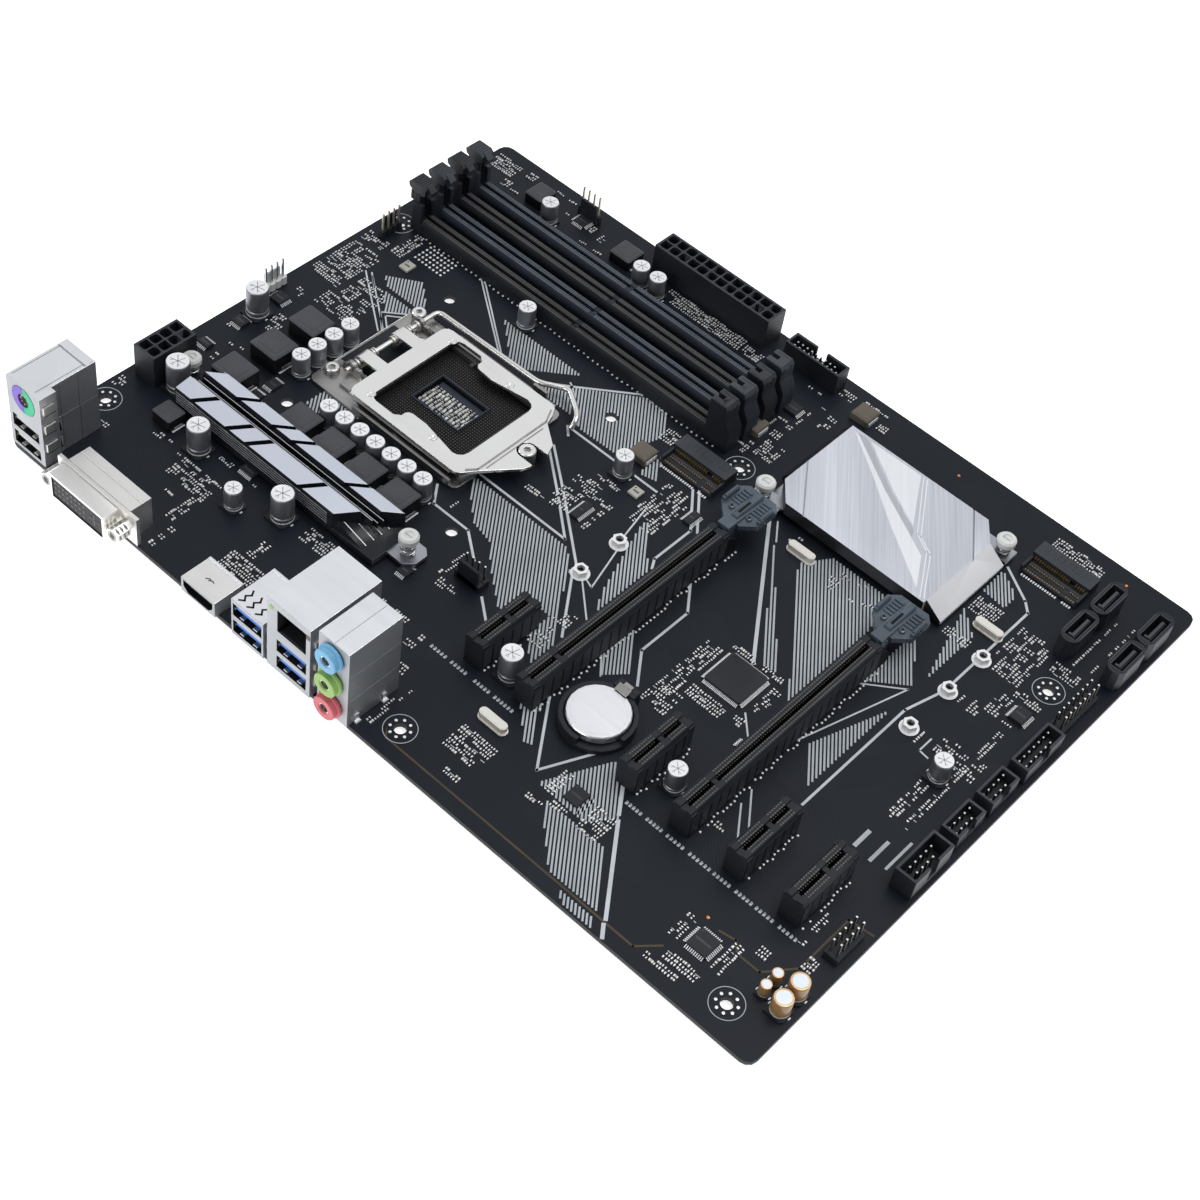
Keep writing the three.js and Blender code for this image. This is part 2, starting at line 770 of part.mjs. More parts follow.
// The two lines cut across the cap beside its missing corners.
const SCORES = [
  [
    [42.4, 44.4],
    [27.2, 66],
  ],
  [
    [91.6, 70],
    [77.4, 90.2],
  ],
];
function chipsetHeatsink() {
  const [x0, x1] = CHIPSET.x;
  const [y0, y1] = CHIPSET.y;
  const cap = prism(
    [
      [x0 + 10, y0],
      [90.4, y0],
      [90.4, y1 - 8],
      [84, y1],
      [x0 + 3.2, y1],
      [x0 + 3.2, y0 + 8],
    ],
    [2.2, CHIPSET.top],
  );
  const slope = prism(
    [
      [89, 1.2],
      [x1, 1.2],
      [x1, 2.4],
      [90.4, CHIPSET.top],
      [89, CHIPSET.top],
    ],
    [y0 + 1.6, y1 - 8],
    "y",
  );
  const bevel = prism(
    [
      [x0, 1.2],
      [x0 + 4, 1.2],
      [x0 + 4, CHIPSET.top],
      [x0 + 3.2, CHIPSET.top],
      [x0, 3],
    ],
    [y0 + 12, y1],
    "y",
  );
  const base = block([x0 + 2, 90.4], [y0 + 1, y1 - 1], [1.2, 2.4]);
  const tabs = CHIPSET_PINS.map(([x, y], i) =>
    block([x - (i ? 8 : 3.6), x + (i ? 3.6 : 8)], [y - 3.4, y + 3.4], [1.2, 2.4]),
  );
  const die = block([48, 72], [56, 80], [0, 1.4]);
  const room = CHIPSET_PINS.map(([x, y]) => post(x, y, PUSH_PIN.headR + 0.5, [2.4, 9], 14));
  const holes = CHIPSET_PINS.map(([x, y]) => post(x, y, PUSH_PIN.clear, [0, 4], 12));
  const shape = join(cut(join(cap, slope, bevel, base), ...room), ...tabs, die);
  const lines = SCORES.map(([[u0, v0], [u1, v1]]) =>
    prism(
      [
        [u0, v0],
        [u1, v1],
        [u1 + 0.6, v1],
        [u0 + 0.6, v0],
      ],
      [CHIPSET.top - 0.35, 9],
    ),
  );
  piece("chipset_heatsink", cut(shape, ...holes, ...lines), LOOK.sink);
}

// ---- Battery -------------------------------------------------------------------------
function battery() {
  const { x, y, r, t, z } = CELL;
  const clear = 0.35;
  const base = post(x, y, r + 2, [0, 1.8], 22);
  const wall = cut(
    post(x, y, r + 2, [1, 4.4], 22),
    post(x, y, r + clear + 0.15, [0, 6], 22),
    block([x + 2, x + 14], [y - 14, y - 2], [1.8, 6]),
  );
  const terminal = block([x - 4, x + 4], [y + r + 0.9, y + r + 4.4], [0, 5.2]);
  const clip = prism(
    [
      [y + r + clear, 1.8],
      [y + r + 1.6, 1.8],
      [y + r + 1.6, 7],
      [y + r + clear, 6],
    ],
    [x - 2.4, x + 2.4],
    "x",
  );
  const footing = legs([
    [x - 8, y],
    [x, y + r + 2.6],
  ]);
  piece("battery_holder", join(base, wall, terminal, clip, ...footing), LOOK.plastic);
  const cell = turned(
    x,
    y,
    [
      [0, z],
      [r - 1.2, z],
      [r, z + 0.8],
      [r, z + t - 0.3],
      [r - 0.3, z + t],
      [0, z + t],
    ],
    22,
  );
  piece("coin_cell", cell, LOOK.nickel);
}

// ---- Rear connectors ---------------------------------------------------------------------
const REAR = -114.5; // the face that meets the case's opening
const PS2 = { face: -112.9, x: -142.8, z: 23.4, height: 29.2 };

// One USB well: an opening with a tongue standing in it.
function usbWell([x0, x1], z, face = REAR) {
  const depth = 9;
  const well = block([x0, x1], [face - 1, face + depth], [z, z + 5.1]);
  const tongue = block([x0 + 1, x1 - 1], [face + 0.8, face + depth], [z + 2.9, z + 4.5]);
  return well.subtract(tongue);
}

function rearConnectors() {
  const back = (y) => [REAR, y];
  const ps2 = join(
    cut(
      join(
        block([-150.6, -137.2], [PS2.face, -89.2], [0, PS2.height]),
        block([-150.6, -134.9], [PS2.face, PS2.face + 6.6], [0, PS2.height]),
      ),
      bar("y", [PS2.face - 1, PS2.face + 7], [PS2.x, PS2.z], 5.4, 16).subtract(
        bar("y", [PS2.face + 1, PS2.face + 8], [PS2.x, PS2.z], 4.2, 12),
      ),
      usbWell([PS2.x - 6.3, PS2.x + 5.9], 1.5, PS2.face),
      usbWell([PS2.x - 6.3, PS2.x + 5.9], 8.9, PS2.face),
    ),
    ...legs([
      [-149, -104],
      [-138.6, -104],
      [-143.7, -92],
    ]),
  );
  piece("ps2_usb_port", ps2, LOOK.tin);
  piece("dvi_port", dviPort(), LOOK.tin);
  const hdmi = join(
    cut(
      block([-69.9, -55.1], back(-102.8), [0, 6.2]),
      prism(
        [
          [-68.9, 5.4],
          [-68.9, 2.8],
          [-67, 0.9],
          [-58, 0.9],
          [-56.1, 2.8],
          [-56.1, 5.4],
        ],
        [REAR - 1, REAR + 8],
        "y",
      ).subtract(block([-67.5, -57.5], [REAR + 1, REAR + 9], [3, 4.2])),
    ),
    ...legs([
      [-68, -108],
      [-57, -108],
    ]),
  );
  piece("hdmi_port", hdmi, LOOK.tin);
  const usb = join(
    cut(
      block([-47.7, -34], back(-97.5), [0, 15.8]),
      usbWell([-46.9, -34.8], 1.6),
      usbWell([-46.9, -34.8], 9),
    ),
    ...legs([
      [-46, -103],
      [-35.6, -103],
    ]),
  );
  piece("usb3_port_stack", usb, LOOK.tin);
  const lan = join(
    cut(
      block([-32.4, -14.4], back(-86.6), [0, 30.6]),
      usbWell([-28.2, -16], 2.1),
      usbWell([-28.2, -16], 9.5),
      block([-28, -16.2], [REAR - 1, REAR + 13], [18.6, 27.8]),
    ),
    ...legs([
      [-30.4, -96],
      [-16.4, -96],
    ]),
  );
  piece("lan_usb_port_stack", lan, LOOK.tin);
  audioPorts();
}

// The DVI connector: a housing on the board, a flange and a D-shaped nose.
function dviPort() {
  const nose = -119.8;
  const housing = block([-123.6, -95], [REAR + 2.4, -104], [0, 12.4]);
  const flange = block([-127.4, -91.2], [REAR + 1.2, REAR + 2.6], [0.6, 12]);
  const shell = cut(
    prism(
      [
        [-123.6, 3],
        [-122, 1.2],
        [-100, 1.2],
        [-98.4, 3],
        [-98.4, 12],
        [-123.6, 12],
      ],
      [nose, REAR + 1.6],
      "y",
    ),
    block([-122.6, -99.4], [nose - 1, nose + 0.8], [2.4, 11]),
  );
  const jacks = [-126, -95.2].map((x) => bar("y", [nose + 0.4, REAR + 1.6], [x, 6.4], 2.7, 6));
  const holes = [-126, -95.2].map((x) => bar("y", [nose - 1, nose + 5], [x, 6.4], 1.3, 8));
  const footing = legs([
    [-121, -107],
    [-97.6, -107],
  ]);
  return cut(join(housing, flange, shell, ...jacks, ...footing), ...holes);
}

function audioPorts() {
  const housing = join(
    block([-11.8, 0.6], [REAR + 0.6, -93], [0, 33.2]),
    ...legs([
      [-10, -98],
      [-1.2, -98],
      [-5.6, -110],
    ]),
  );
  const x = -5.7;
  const seats = JACKS.map(([, z]) =>
    bar("y", [REAR - 1, REAR + 14], [x, z], 4.1, 12),
  );
  piece("audio_port_housing", cut(housing, ...seats), LOOK.tin);
  for (const [name, z, color] of JACKS) {
    const sleeve = join(
      bar("y", [REAR - 2.6, REAR + 13.6], [x, z], 3.6, 12),
      bar("y", [REAR - 1.6, REAR + 0.2], [x, z], 4.7, 12),
    );
    const bore = bar("y", [REAR - 4, REAR + 12], [x, z], 1.8, 8);
    piece(name, cut(sleeve, bore), [color, 0.5, 0]);
  }
}

// ---- Card and drive sockets ---------------------------------------------------------------
function m2Socket(name, [x, y]) {
  const body = cut(
    join(
      block([-11, 11], [-2.2, 4.4], [0, 4.4]),
      block([-11, 11], [-8.4, -2], [0, 1.2]),
      block([-11, -10], [-8.4, -2], [0, 3]),
      block([10, 11], [-8.4, -2], [0, 3]),
    ),
    block([-10, 10], [-9, 2.6], [1.6, 2.9]),
  );
  piece(name, join(body, ...legs([[8.6, 1.6], [-8.6, 1.6]], [x, y])), LOOK.plastic, [x, y, 0]);
}

function sataPort(name, [x, y]) {
  const well = cut(
    block([-2.1, 2.1], [-6, 6], [2, 10]),
    block([0.2, 1.3], [-5, 5], [1, 8]),
    block([-1.2, 1], [-5, -3.9], [1, 8]),
  );
  const shell = prism(
    [
      ...arc(0, 4.7, 3.4, 10, 170, 4),
      ...arc(0, -4.7, 3.4, 190, 350, 4),
    ],
    [0, 8.8],
  );
  const footing = legs([[0, 0]], [x, y]);
  piece(name, join(cut(shell, well), ...footing), LOOK.plastic, [x, y, 0]);
}

function cardSockets() {
  m2Socket("m2_socket_1", [3, 42.8]);
  m2Socket("m2_socket_2", [112, 94.4]);
  const spots = [
    [130.4, 90.1],
    [130.4, 73.4],
    [147.5, 90.6],
    [147.5, 73.9],
  ];
  spots.forEach((spot, i) => sataPort("sata_port_" + (i + 1), spot));
}

// ---- Headers ----------------------------------------------------------------------------
// A shrouded pin header: a box with an open well and a notch in one long wall.
function boxHeader(name, [x, y], [long, wide, height], turnedToY) {
  const wall = 0.95;
  const body = block([-long / 2, long / 2], [-wide / 2, wide / 2], [0, height]);
  const well = block(
    [wall - long / 2, long / 2 - wall],
    [wall - wide / 2, wide / 2 - wall],
    [1.8, height + 1],
  );
  const notch = block([-2.1, 2.1], [wide / 2 - 2, wide / 2 + 1], [2.6, height + 1]);
  const spots = [[long / 2 - 3, 0], [3 - long / 2, 0]];
  const shape = cut(body, well, notch);
  const spun = turnedToY ? shape.rotate([0, 0, -90]) : shape;
  const places = turnedToY ? spots.map(([u, v]) => [v, u]) : spots;
  piece(name, join(spun, ...legs(places, [x, y])), LOOK.plastic, [x, y, 0]);
}

// An open pin header: a low base with square pins.
function pinHeader(name, [x, y], [columns, rows], along, baseHeight = 2.5) {
  const pitch = 2.54;
  const long = (columns * pitch) / 2;
  const wide = (rows * pitch) / 2;
  const base = block([-long, long], [-wide, wide], [0, baseHeight]);
  const pins = [];
  for (let i = 0; i < columns; i += 1) {
    for (let j = 0; j < rows; j += 1) {
      const u = (i - (columns - 1) / 2) * pitch;
      const v = (j - (rows - 1) / 2) * pitch;
      pins.push(block([u - 0.32, u + 0.32], [v - 0.32, v + 0.32], [1, 8.6]));
    }
  }
  const shape = join(base, ...pins);
  piece(name, along === "x" ? shape : shape.rotate([0, 0, 90]), LOOK.plastic, [x, y, 0]);
}

function headers() {
  boxHeader("front_usb3_header", [-0.2, 105.8], [23, 6.6, 8.8], false);
  boxHeader("serial_header", [147.4, -31.1], [18.6, 7.6, 8.8], true);
  boxHeader("usb2_header_1", [147, 6.4], [13.6, 6.6, 6.6], true);
  boxHeader("usb2_header_2", [146.9, -10.6], [13.6, 6.6, 6.6], true);
  boxHeader("usb2_header_3", [147.4, 26.8], [19.8, 6.6, 6.6], true);
  pinHeader("front_panel_header", [146.2, 49.5], [8, 2], "y");
  pinHeader("cpu_fan_header", [-14, -46], [4, 1], "x");
  pinHeader("audio_header", [147.2, -66], [5, 2], "y");
}

// ---- Chips ---------------------------------------------------------------------------------
function chip(name, [x, y], size, height) {
  const half = size / 2;
  const body = prism(rounded([-half, half], [-half, half], 0.5, 1), [0.1, height]);
  const dot = post(-half + 1.6, half - 1.6, 0.6, [height - 0.15, height + 1], 8);
  piece(name, cut(body, dot), LOOK.chip, [x, y, 0]);
}

// ---- The board, made last so that it knows every hole ------------------------------------------
function board() {
  const half = [BOARD.x / 2, BOARD.y / 2];
  const slab = prism(rounded([-half[0], half[0]], [-half[1], half[1]], BOARD.corner), [
    -BOARD.t,
    0,
  ]);
  const through = [-4, 4];
  const { r, topR, underR, padT } = SCREW_HOLE;
  const pads = SCREW_HOLES.flatMap(([x, y]) => [
    post(x, y, topR, [-1, padT], 12),
    post(x, y, underR, [-BOARD.t - padT, -1], 12),
  ]);
  const screwHoles = SCREW_HOLES.map(([x, y]) => post(x, y, r, through, 12));
  const d = CPU.coolerPitch / 2;
  const cooler = [-d, d].flatMap((dx) =>
    [-d, d].map((dy) => post(CPU.x + dx, CPU.y + dy, CPU.coolerR, through, 10)),
  );
  const screws = [...FRAME_SCREWS, [SHOULDER.x, SHOULDER.y]].map(([x, y]) =>
    post(x, y, 1.9, through, 8),
  );
  const pins = [...VRM_PINS, ...CHIPSET_PINS].map(([x, y]) =>
    post(x, y, PUSH_PIN.clear, through, 8),
  );
  const legsThrough = legHoles.map(([x, y]) => post(x, y, LEG.holeR, through, 4));
  const body = join(slab, ...pads);
  piece("pcb", cut(body, ...screwHoles, ...cooler, ...screws, ...pins, ...legsThrough), LOOK.board);
}

cpuSocket();
socketFrame();
loadPlate();
loadLever();
backplate();
capScrew("socket_shoulder_screw", [SHOULDER.x, SHOULDER.y], {
  headR: SHOULDER.headR,
  head: 6.8,
  shankR: 1.7,
  bottom: -BOARD.t - LEG.below,
  seat: 0.05,
});
FRAME_SCREWS.forEach((spot, i) =>
  capScrew("socket_screw_rear_" + (i + 1), spot, {
    headR: 2.6,
    head: 3.4,
    shankR: 1.6,
    bottom: -BOARD.t - LEG.below,
    seat: 1.35,
  }),
);
dimmSlots();
pcieSlots();
powerConnectors();
vrmHeatsink();
pushPin("vrm_push_pin_1", VRM_PINS[0], 11);
pushPin("vrm_push_pin_2", VRM_PINS[1], 9);
chipsetHeatsink();
pushPin("chipset_push_pin_1", CHIPSET_PINS[0], 8.8);
pushPin("chipset_push_pin_2", CHIPSET_PINS[1], 9);
battery();
rearConnectors();
cardSockets();
headers();
chip("super_io_chip", [67, -16.6], 14, 1.5);
board();

const box = new THREE.Box3().setFromObject(mainboard);
const centre = box.getCenter(new THREE.Vector3());
mainboard.position.set(-centre.x, -centre.y, -box.min.z);

export default mainboard;
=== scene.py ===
import json
import math
import random

import bmesh
import bpy
from mathutils import Matrix, Vector


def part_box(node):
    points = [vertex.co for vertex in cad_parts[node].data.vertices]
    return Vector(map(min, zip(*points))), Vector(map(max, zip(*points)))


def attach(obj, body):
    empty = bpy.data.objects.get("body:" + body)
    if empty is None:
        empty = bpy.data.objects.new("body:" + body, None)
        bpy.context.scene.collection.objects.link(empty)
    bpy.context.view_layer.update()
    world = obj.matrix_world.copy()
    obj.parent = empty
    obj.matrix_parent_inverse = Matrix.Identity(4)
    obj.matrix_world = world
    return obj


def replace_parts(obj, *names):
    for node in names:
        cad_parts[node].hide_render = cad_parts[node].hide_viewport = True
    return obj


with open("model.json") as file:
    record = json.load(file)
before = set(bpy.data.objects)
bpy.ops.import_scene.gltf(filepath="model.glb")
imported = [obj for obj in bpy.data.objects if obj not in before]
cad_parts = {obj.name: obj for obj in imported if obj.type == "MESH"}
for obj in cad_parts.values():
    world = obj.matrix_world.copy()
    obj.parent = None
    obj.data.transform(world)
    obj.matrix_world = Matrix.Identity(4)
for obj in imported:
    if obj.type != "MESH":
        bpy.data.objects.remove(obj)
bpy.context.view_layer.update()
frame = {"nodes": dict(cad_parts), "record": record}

MM = 0.001
RNG = random.Random(7)

# Lengths from here on are millimetres about the middle of the board's top face, unless a name says metres.
PCB_LOW, PCB_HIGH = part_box("pcb")
PAD_RISE = 0.1
ORIGIN = Vector(((PCB_LOW.x + PCB_HIGH.x) / 2, (PCB_LOW.y + PCB_HIGH.y) / 2, PCB_HIGH.z - PAD_RISE * MM))
UNDER = -1.6  # the board's underside


def at(node):
    """The x, y and z ranges of a CAD node, in millimetres about the middle of the board."""
    low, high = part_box(node)
    return [((low[i] - ORIGIN[i]) / MM, (high[i] - ORIGIN[i]) / MM) for i in range(3)]


def mid(pair):
    return (pair[0] + pair[1]) / 2


def centre(node):
    x, y, _ = at(node)
    return mid(x), mid(y)


def span(middle, half):
    return (middle - half, middle + half)


def beside(middle, side, near, far):
    """The range between two distances from a middle, on its side 1 or -1."""
    return tuple(sorted((middle + side * near, middle + side * far)))


def steps_between(low, high, pitch):
    count = int(round((high - low) / pitch))
    return [low + i * (high - low) / max(count, 1) for i in range(count + 1)]


CARD_SLOTS = [name for name in frame["nodes"] if name.startswith("pcie_x") and "slot" in name]
SLOT_START, LONG_SLOT, SHORT_SLOT = -70.55, 89, 25
POWER_PITCH = 4.2
POWER_SPOTS = [(-45 + (i - 5.5) * POWER_PITCH, 106.1 + s * 2.1) for i in range(12) for s in (-1, 1)]
POWER_SPOTS += [(-144.3 + s * 2.1, -56.3 + (i - 1.5) * POWER_PITCH) for i in range(4) for s in (-1, 1)]
HEADER_PITCH = 2.54
PIN_END = -3.0


def slot_end(name):
    return SLOT_START + (LONG_SLOT if "x16" in name else SHORT_SLOT)


# ---- Materials ---------------------------------------------------------------
def new_material(name, metal, rough, **sockets):
    mat = bpy.data.materials.new(name)
    mat.use_nodes = True
    shader = mat.node_tree.nodes["Principled BSDF"]
    shader.inputs["Metallic"].default_value = metal
    shader.inputs["Roughness"].default_value = rough
    for key, value in sockets.items():
        shader.inputs[key.replace("_", " ")].default_value = value
    return mat, mat.node_tree, shader


def node(tree, kind, **values):
    made = tree.nodes.new("ShaderNode" + kind)
    for key, value in values.items():
        if key in made.inputs:
            made.inputs[key].default_value = value
        else:
            setattr(made, key, value)
    return made


def mapped(tree, scale=(1, 1, 1), turn=0.0):
    coords = node(tree, "TexCoord")
    place = node(tree, "Mapping", vector_type="TEXTURE")
    place.inputs["Scale"].default_value = tuple(1 / value for value in scale)
    place.inputs["Rotation"].default_value = (0, 0, turn)
    tree.links.new(coords.outputs["Object"], place.inputs["Vector"])
    return place.outputs["Vector"]


def noise(tree, vector, scale, detail=3.0):
    made = node(tree, "TexNoise", Scale=scale, Detail=detail)
    tree.links.new(vector, made.inputs["Vector"])
    return made.outputs["Fac"]


def shades(tree, factor, stops):
    ramp = node(tree, "ValToRGB")
    while len(ramp.color_ramp.elements) < len(stops):
        ramp.color_ramp.elements.new(0.5)
    for element, (position, rgb) in zip(ramp.color_ramp.elements, stops):
        element.position = position
        element.color = (*rgb, 1)
    tree.links.new(factor, ramp.inputs["Fac"])
    return ramp.outputs["Color"]


def between(tree, factor, low, high):
    made = node(tree, "MapRange")
    made.inputs["To Min"].default_value = low
    made.inputs["To Max"].default_value = high
    tree.links.new(factor, made.inputs["Value"])
    return made.outputs["Result"]


def reckoned(tree, operation, *values):
    """The result of a maths node on numbers or on other nodes' outputs."""
    made = node(tree, "Math", operation=operation)
    for socket, value in zip(made.inputs, values):
        if isinstance(value, float):
            socket.default_value = value
        else:
            tree.links.new(value, socket)
    return made.outputs[0]


def raised(tree, shader, factor, strength, distance):
    bump = node(tree, "Bump", Strength=strength, Distance=distance)
    tree.links.new(factor, bump.inputs["Height"])
    tree.links.new(bump.outputs["Normal"], shader.inputs["Normal"])


def tint(rgb, gain):
    return tuple(min(1.0, c * gain) for c in rgb)


def moulded(name, rgb, rough=0.5, spread=0.12, grain=1400.0, bump=0.25, sheen=0.3, **sockets):
    """Moulded plastic or rubber-like resin: fine grain, slight colour mottling, uneven gloss."""
    mat, tree, shader = new_material(name, 0.0, rough, Specular_IOR_Level=sheen, **sockets)
    place = mapped(tree)
    broad = noise(tree, place, 90.0, 4.0)
    fine = noise(tree, place, grain, 2.0)
    colour = shades(tree, broad, [(0.3, tint(rgb, 1 - spread)), (0.7, tint(rgb, 1 + spread))])
    tree.links.new(colour, shader.inputs["Base Color"])
    tree.links.new(between(tree, fine, rough - 0.1, rough + 0.1), shader.inputs["Roughness"])
    raised(tree, shader, fine, bump, 0.00012)
    return mat


def metal(name, rgb, rough=0.3, streak=(1, 1, 1), turn=0.0, spread=0.1, scale=500.0, bump=0.12, fill=1.0,
        **sockets):
    """Plated or brushed metal: streaks along one direction, with slight colour and gloss changes."""
    mat, tree, shader = new_material(name, fill, rough, **sockets)
    lines = noise(tree, mapped(tree, streak, turn), scale, 4.0)
    broad = noise(tree, mapped(tree), 60.0, 3.0)
    colour = shades(tree, broad, [(0.25, tint(rgb, 1 - spread)), (0.75, tint(rgb, 1 + spread))])
    tree.links.new(colour, shader.inputs["Base Color"])
    tree.links.new(between(tree, lines, rough - 0.1, rough + 0.12), shader.inputs["Roughness"])
    raised(tree, shader, lines, bump, 0.00005)
    return mat


def mask_material():
    """Black solder mask: glossy, with buried tracks that show as faint raised lines in patches."""
    mat, tree, shader = new_material("board_mask", 0.0, 0.4, Specular_IOR_Level=0.22)
    patches = node(tree, "TexVoronoi", Scale=55.0)
    tree.links.new(mapped(tree), patches.inputs["Vector"])
    pick = node(tree, "SeparateColor")
    tree.links.new(patches.outputs["Color"], pick.inputs["Color"])
    tracks = 0.0
    for patch, degrees in ((0.55, 45), (0.3, 0), (0.75, 90)):
        wave = node(tree, "TexWave", Scale=330.0, Distortion=0.0)
        tree.links.new(mapped(tree, turn=math.radians(degrees)), wave.inputs["Vector"])
        line = reckoned(tree, "GREATER_THAN", wave.outputs["Fac"], 0.62)
        inside = reckoned(tree, "COMPARE", pick.outputs["Red"], patch, 0.05)
        tracks = reckoned(tree, "MULTIPLY_ADD", line, inside, tracks)
    broad = noise(tree, mapped(tree), 30.0, 3.0)
    colour = shades(tree, tracks, [(0.0, (0.0082, 0.0112, 0.0178)), (1.0, (0.0115, 0.015, 0.022))])
    tree.links.new(colour, shader.inputs["Base Color"])
    tree.links.new(between(tree, broad, 0.34, 0.46), shader.inputs["Roughness"])
    raised(tree, shader, tracks, 0.25, 0.00003)
    return mat


def brushed_with_painted_bands(name, light, dark, turn):
    """Brushed aluminium with painted reflection: broad soft light and dark bands along the brushing, as such
    a cap shows under soft light.
    """
    mat, tree, shader = new_material(name, 0.6, 0.45)
    across = mapped(tree, (1, 0.012, 1), turn)
    broad = noise(tree, across, 45.0, 2.0)
    fine = noise(tree, across, 1500.0, 3.0)
    both = node(tree, "Mix", data_type="FLOAT")
    both.inputs[0].default_value = 0.45
    tree.links.new(broad, both.inputs[2])
    tree.links.new(fine, both.inputs[3])
    colour = shades(tree, both.outputs[0], [(0.3, dark), (0.7, light)])
    tree.links.new(colour, shader.inputs["Base Color"])
    tree.links.new(between(tree, fine, 0.34, 0.5), shader.inputs["Roughness"])
    raised(tree, shader, fine, 0.2, 0.00003)
    return mat


